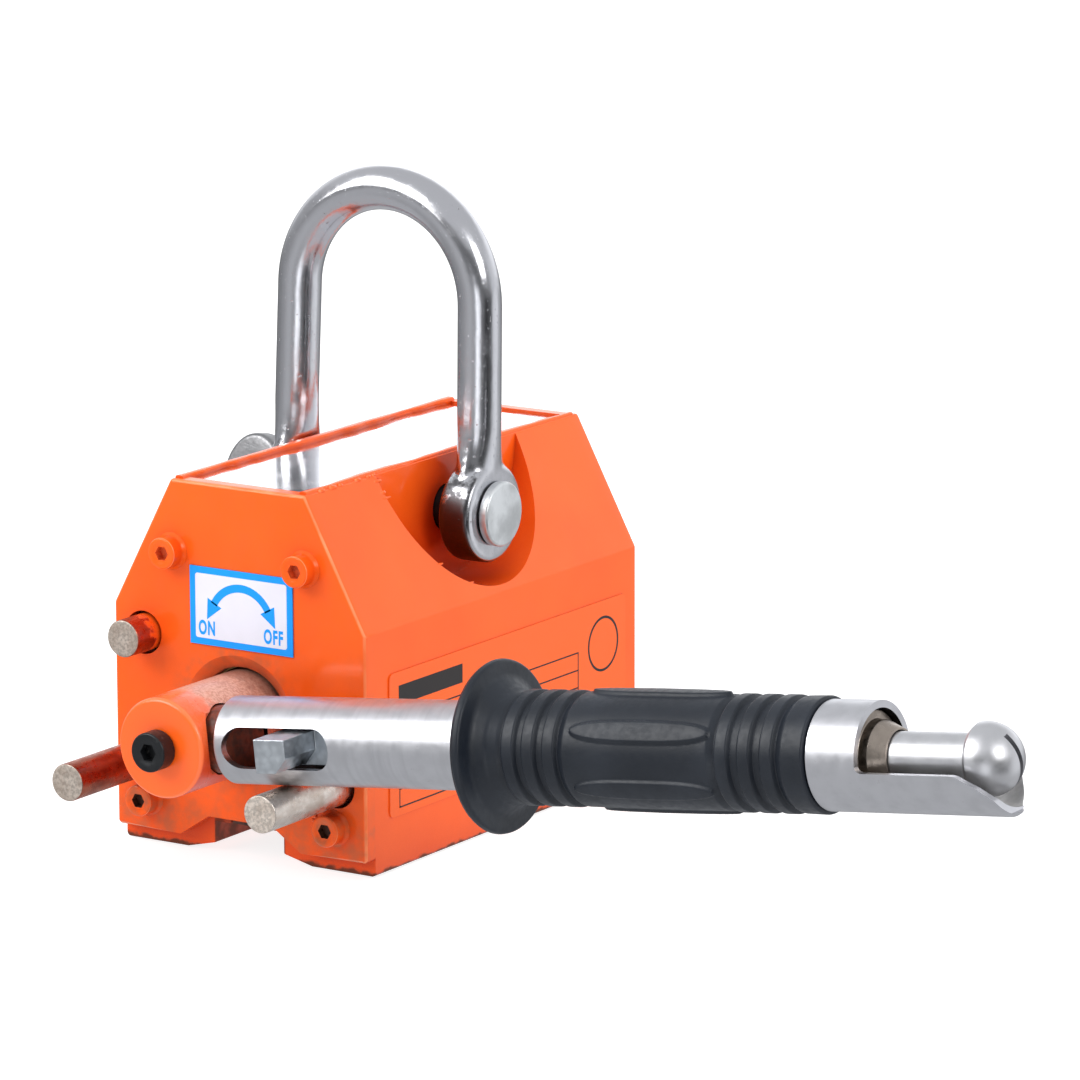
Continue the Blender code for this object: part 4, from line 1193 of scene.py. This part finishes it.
def grip():
    """The rubber grip as one surface of revolution with raised pads."""
    angles = [math.tau * side / 300 for side in range(300)]
    rings = []
    for radius, x in subdivided(rounded(grip_outline(), 5), 0.25):
        ring = []
        for angle in angles:
            reach = radius + (pad_height(x, angle) if radius > 9.9 else 0.0)
            ring.append((x, reach * math.sin(angle), -reach * math.cos(angle)))
        rings.append(ring)
    bore = TUBE_RADIUS + 0.02
    for x in (GRIP_END - 0.05, GRIP_START + 0.05):
        rings.append([(x, bore * math.sin(angle), -bore * math.cos(angle)) for angle in angles])
    mesh = skinned("grip", rings, True, 50.0)
    piece("grip_rubber", mesh, HANDLE, RUBBER, ("grip",))


def sleeve():
    """The end sleeve, cut away into a trough whose tip is drawn in round the button."""
    lip = 5.8
    profile = [(SLEEVE_BORE, GRIP_END + 0.1), (SLEEVE_RADIUS - 0.3, GRIP_END + 0.1),
               (SLEEVE_RADIUS, GRIP_END + 0.4)]
    profile += arc((lip, SLEEVE_ROUND), SLEEVE_RADIUS - lip, 0, 90, 16)
    profile += arc((lip, SLEEVE_ROUND), SLEEVE_BORE - lip, 90, 0, 12)
    mesh = turned("sleeve", profile, 160, TURN_X)
    edge = [(MOUTH, 20.0, 0.0), (MOUTH, -1.0, 1.2), (164.6, -1.0, 3.0), (168.6, -3.2, 2.5),
            (171.2, -5.4, 1.2), (172.2, -8.2, 0.0), (190.0, -8.2, 0.0), (190.0, 20.0, 0.0)]
    slant = Matrix.Rotation(math.radians(SLANT_ANGLE), 4, "Z")
    tip = (SLANT_START - TIP_ROUND, TIP_ROUND - SLEEVE_RADIUS)
    outside = [(SLANT_START, 20.0)] + arc(tip, TIP_ROUND, 0, -90, 12)
    outside += [(SLANT_START - TIP_ROUND, -20.0), (SLANT_START + 60.0, -20.0), (SLANT_START + 60.0, 20.0)]
    far_side = prism("far_side", outside, -150.0, 50.0, slant)
    mesh = combined(mesh, [prism("cutaway", rounded(edge, 5), -15.0, 15.0), far_side])
    mesh = edged(mesh, 0.2, lambda middle: middle.x > MOUTH - 0.3)
    piece("handle_sleeve_satin", mesh, HANDLE, SLEEVE, ("handle_sleeve",))

    def within(middle, facing):
        return math.hypot(middle.y, middle.z) < SLEEVE_BORE + 0.04 and abs(facing.x) < 0.5

    resurfaced(mesh, TROUGH, within)
    # Painted shade: the sleeve's bore near the mouth is near-black.
    resurfaced(mesh, INSIDE_SHADE, lambda middle, facing: within(middle, facing) and middle.x < MOUTH + 4.0)


def latch_key():
    """The zinc block that crosses the tube, with a nose to the front and one to the back."""
    body = block("key", (KEY_START, -4.2, -3.5), (KEY_END, 5.0, 3.5))
    nose = [(KEY_START, -3.1), (28.3, -3.1), (NOSE_END, -0.4), (NOSE_END, 3.1), (KEY_START, 3.1)]
    front_nose = prism("front_nose", nose, -13.7, -1.0)
    rear_nose = block("rear_nose", (KEY_START, 2.0, -3.1), (NOSE_END, 8.3, 3.1))
    mesh = edged(combined(body, [front_nose, rear_nose], "UNION"), 0.22)
    piece("latch_key_zinc", mesh, HANDLE, ZINC, ("latch_key",))


def thumb_plunger():
    """The rod, the domed button with its driver slot, and the guide bush."""
    mesh = rod("plunger_rod", ROD_RADIUS, KEY_END + GAP, HEAD_START + 0.05, 0.2, 96, TURN_X)
    piece("plunger_rod_satin", mesh, HANDLE, ROD_STEEL, ("plunger_rod",))
    centre = HEAD_START + 1.9
    radius = DOME_RADIUS
    dome = [(0.0, HEAD_START), (ROD_RADIUS + 0.05, HEAD_START)]
    dome += [(ROD_RADIUS + 0.5 + 1.1 * math.sin(turn), HEAD_START + 0.7 - 0.7 * math.cos(turn))
             for turn in (math.radians(15.0 * step) for step in range(6))]
    dome += [(radius * math.cos(turn), centre + radius * math.sin(turn))
             for turn in (math.radians(4.0 * step) for step in range(-2, 22))]
    dome.append((0.0, centre + radius))
    mesh = turned("button", dome, 128, TURN_X)
    slot = block("driver_slot", (centre + 3.9, -0.55, -4.6), (175.0, 0.55, 4.6),
                 Matrix.Rotation(math.radians(15.0), 4, "X"))
    mesh = edged(combined(mesh, [slot]), 0.14, None, 2)
    piece("thumb_button_polished", mesh, HANDLE, BUTTON, ("thumb_button",))
    inner = ROD_RADIUS + 0.25
    outer = SLEEVE_BORE - GAP
    outline = [(inner, TUBE_END + 0.1, 0.0), (outer, TUBE_END + 0.1, 0.2), (outer, BUSH_STEP, 0.25),
               (BUSH_NOSE, BUSH_STEP, 0.3), (BUSH_NOSE, MOUTH + 0.6, 0.5), (inner + 0.35, BUSH_END, 0.15),
               (inner, BUSH_END, 0.0)]
    mesh = turned("bush", rounded(outline, 5), 96, TURN_X)
    piece("guide_bush_stained", mesh, HANDLE, STAINED, ("guide_bush",))


def return_spring():
    """The coil spring, drawn at rest length; the real one shortens as the button is pushed."""
    near, far = 48.3, 94.6
    turns, wire, coil_radius = 12, 0.4, 5.4
    steps, sides = 40 * turns, 10
    first = near + 0.05 + wire
    coiled = far - 0.05 - wire - first
    rings = []
    for index in range(steps + 1):
        angle = math.tau * turns * (index / steps)
        away = Vector((0.0, math.cos(angle), math.sin(angle)))
        middle = Vector((first + coiled * (index / steps), 0.0, 0.0)) + away * coil_radius
        ring = []
        for side in range(sides):
            turn = math.tau * side / sides
            offset = away * math.cos(turn) + Vector((math.sin(turn), 0.0, 0.0))
            ring.append(middle + offset * wire)
        rings.append(ring)
    made = piece("return_spring_coil", skinned("spring", rings), HANDLE, SPRING, ("return_spring",))
    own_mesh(made)


# ---------------------------------------------------------------- shackle

def bow_route():
    """The bow's centre line: (x, z, half width across the bar, half width along Y)."""
    middle = (CROWN_LEFT + CROWN_RIGHT) / 2.0
    radius = (CROWN_RIGHT - CROWN_LEFT) / 2.0
    flare = ((3.3, 8.0), (3.3, 7.5), (3.35, 6.9), (3.45, 6.25), (3.6, 5.6), (3.78, 5.05), (3.95, 4.6),
             (4.07, 4.32), (BAR_RADIUS, BAR_RADIUS))
    left = []
    right = []
    for step, (wide, deep) in enumerate(flare):
        z = PIN_Z + 1.0 + 2.0 * step
        left.append((LEG_LEFT, z, wide, deep))
        right.append((LEG_RIGHT, z, wide, deep))
    for share in (step / 6.0 for step in range(1, 6)):
        height = z + (LEG_TOP - z) * share
        left.append((LEG_LEFT + (CROWN_LEFT - LEG_LEFT) * share, height, BAR_RADIUS, BAR_RADIUS))
        right.append((LEG_RIGHT + (CROWN_RIGHT - LEG_RIGHT) * share, height, BAR_RADIUS, BAR_RADIUS))
    crown = [(x, z, BAR_RADIUS, BAR_RADIUS) for x, z in arc((middle, LEG_TOP), radius, 180, 0, 60)]
    return left + crown + right[::-1]


def bow_mesh():
    """Sweep an oval section along the bow's route and cap both ends."""
    route = bow_route()
    sides = 64
    rings = []
    for index, (x, z, wide, deep) in enumerate(route):
        before = route[max(index - 1, 0)]
        after = route[min(index + 1, len(route) - 1)]
        along = Vector((after[0] - before[0], 0.0, after[1] - before[1])).normalized()
        across = Vector((-along.z, 0.0, along.x))
        ring = []
        for side in range(sides):
            angle = math.tau * side / sides
            offset = across * (wide * math.cos(angle)) + Vector((0.0, deep * math.sin(angle), 0.0))
            ring.append(Vector((x, 0.0, z - PIN_Z)) + offset)
        rings.append(ring)
    return skinned("bow", rings, False, 35.0)


def shackle():
    """The forged bow with its eyes, and the pin through the body."""
    half = BOSS_THICK / 2.0
    eyes = []
    for leg in (LEG_LEFT, LEG_RIGHT):
        eyes.append(rod("eye", BOSS_RADIUS, leg - half, leg + half, 1.1, 96, TURN_X))
    mesh = combined(bow_mesh(), eyes, "UNION")
    mesh = melted(mesh, 0.4, 10)
    bore = rod("eye_bore", PIN_RADIUS + 0.2, -60.0, 60.0, steps=72, matrix=TURN_X)
    mesh = combined(mesh, [bore], smooth_below=50.0)
    piece("shackle_bow_forged", mesh, SHACKLE, CHROME, ("shackle_bow",))
    out = LEG_RIGHT + half + GAP
    collar = LEG_LEFT - half - GAP
    corners = [(0.0, collar - 1.6, 0.0), (6.0, collar - 1.6, 0.3), (6.0, collar, 0.2),
               (PIN_RADIUS, collar, 0.0), (PIN_RADIUS, out, 0.0), (6.1, out, 0.2), (6.1, out + 1.8, 0.55),
               (0.0, out + 1.8, 0.0)]
    shank = turned("pin", rounded(corners, 5), 96, TURN_X)
    lean = Matrix.Rotation(math.radians(-10.0), 4, "X")
    middle, wide, tall = -27.9, 7.0, 9.3
    open_angle = math.acos((collar - 0.5 - middle) / wide)
    outline = []
    for step in range(73):
        turn = open_angle + (math.tau - 2.0 * open_angle) * step / 72
        outline.append((middle + wide * math.cos(turn), tall * math.sin(turn)))
    tab = edged(prism("tab", outline, -2.5, 2.5, lean), 0.9, None, 4, 60.0)
    mesh = combined(shank, [tab], "UNION")
    mesh = combined(mesh, [prism("tab_hole", circle((-29.4, 0.0), 3.2), -9.0, 9.0, lean)])
    piece("shackle_pin_plated", mesh, SHACKLE, GALVANISED, ("shackle_pin",))
    # Painted shade: the pin's middle, in the pocket between the wall and the eye, is drawn black for the
    # shadow that falls there.
    resurfaced(mesh, BLACK, lambda middle, _: collar + 0.02 < middle.x < out - 0.02)
    resurfaced(mesh, FORGED, lambda middle, _: middle.x < collar + 0.01)


# ---------------------------------------------------------------- stage, light and camera

def camera():
    """The camera, in front of the part, to its right and a little above it."""
    backward = Vector((0.5317, -0.8199, 0.2120)).normalized()
    sideways = Vector((0.8390, 0.5441, 0.0)).normalized()
    turn = Matrix((sideways, backward.cross(sideways), backward)).transposed().to_4x4()
    roll = Matrix.Rotation(math.radians(-0.139), 4, "Z")
    data = bpy.data.cameras.new("camera")
    data.lens = 218.95
    data.sensor_width = 36.0
    data.clip_start = 0.01
    made = bpy.data.objects.new("camera", data)
    bpy.context.collection.objects.link(made)
    place = BODY.translation + Vector((683.0, -951.6, 313.9)) * MM
    made.matrix_world = Matrix.Translation(place) @ turn @ roll
    bpy.context.scene.camera = made


def softbox(name, place, size, bright, aim=(0.02, 0.0, 0.05), shown=True):
    """A rectangular area light at place (metres) that faces the object, as bright as its face looks."""
    data = bpy.data.lights.new(name, "AREA")
    data.shape = "RECTANGLE"
    data.size, data.size_y = size
    data.energy = bright * math.pi * size[0] * size[1]
    made = bpy.data.objects.new(name, data)
    bpy.context.collection.objects.link(made)
    away = Vector(place) - Vector(aim)
    made.matrix_world = Matrix.Translation(place) @ away.to_track_quat("Z", "Y").to_matrix().to_4x4()
    made.visible_camera = False
    made.visible_glossy = shown


def surround():
    """The room that shows in glossy surfaces: brightness by compass heading, low down and high up."""
    low_ring = ((-180, 0.32), (-150, 0.42), (-112, 0.62), (-82, 0.5), (-70, 1.9), (-60, 1.5), (-46, 0.26),
                (-22, 0.04), (0, 0.12), (24, 1.0), (42, 1.1), (62, 0.6), (92, 0.3), (123, 0.14), (180, 0.32))
    high_ring = ((-180, 0.5), (-123, 0.3), (-57, 0.16), (-10, 0.3), (35, 0.9), (75, 1.35), (123, 1.5),
                 (150, 1.0), (180, 0.5))
    brightest = 2.0
    world = bpy.data.worlds.new("studio")
    bpy.context.scene.world = world
    world.use_nodes = True
    room = Nodes(world.node_tree)
    direction = room.split(room.add("TexCoord").outputs["Generated"])
    heading = room.math("ARCTAN2", direction["Y"], direction["X"])
    turn = room.fit(heading, -math.pi, math.pi, shape="LINEAR")
    rings = []
    for ring in (low_ring, high_ring):
        ramp = room.add("ValToRGB")
        ramp.color_ramp.interpolation = "EASE"
        for number, (degrees, bright) in enumerate(ring):
            position = (degrees + 180.0) / 360.0
            if number < 2:
                stop = ramp.color_ramp.elements[number]
                stop.position = position
            else:
                stop = ramp.color_ramp.elements.new(position)
            stop.color = (bright / brightest, bright / brightest, bright / brightest, 1.0)
        room.feed(ramp.inputs["Fac"], turn)
        rings.append(ramp.outputs["Color"])
    level = room.mix(room.fit(direction["Z"], -0.1, 0.12), rings[0], rings[1])
    overhead = room.mix(room.fit(direction["Z"], 0.26, 0.55), level, (0.36, 0.36, 0.382))
    ground = room.mix(room.fit(direction["Z"], -0.35, -0.6), overhead, (0.3, 0.3, 0.3))
    lit = room.tree.nodes["Background"]
    lit.inputs["Color"].default_value = (0.95, 0.97, 1.0, 1.0)
    room.feed(lit.inputs["Strength"], room.times(ground, brightest))
    white = room.add("Background")
    white.inputs["Strength"].default_value = 1.15
    white.inputs["Color"].default_value = (1.0, 1.0, 1.0, 1.0)
    shown = room.add("MixShader")
    room.feed(shown.inputs[0], room.add("LightPath").outputs["Is Camera Ray"])
    room.feed(shown.inputs[1], lit.outputs[0])
    room.feed(shown.inputs[2], white.outputs[0])
    room.feed(room.tree.nodes["World Output"].inputs["Surface"], shown.outputs[0])


def studio():
    """A pale floor, the surround and three softboxes."""
    floor = Surface("floor_white", (0.34, 0.34, 0.34), 0.6, Emission_Color=(1.0, 1.0, 1.0, 1.0),
                    Emission_Strength=0.84)
    bm = bmesh.new()
    bmesh.ops.create_grid(bm, x_segments=1, y_segments=1, size=6.0)
    mesh = bpy.data.meshes.new("floor")
    bm.to_mesh(mesh)
    bm.free()
    ground = bpy.data.objects.new("floor", mesh)
    bpy.context.collection.objects.link(ground)
    ground.location = (0.0, 0.0, -0.0003)
    ground.visible_glossy = False
    mesh.materials.append(floor.material)

    surround()
    softbox("key_left", (-0.75, -1.0, 0.85), (1.1, 0.9), 4.7)
    softbox("fill_right", (1.25, -0.45, 0.75), (0.7, 0.7), 4.3)
    softbox("top", (0.1, 0.1, 1.3), (1.2, 1.0), 2.4, shown=False)
    bpy.context.scene.view_settings.view_transform = "Standard"


housing()
covers()
fasteners()
stop_pins()
paint_beads()
paint_lumps()
inserts()
switch_label()
side_label()
shaft()
handle_tube()
grip()
sleeve()
latch_key()
thumb_plunger()
return_spring()
shackle()
camera()
studio()
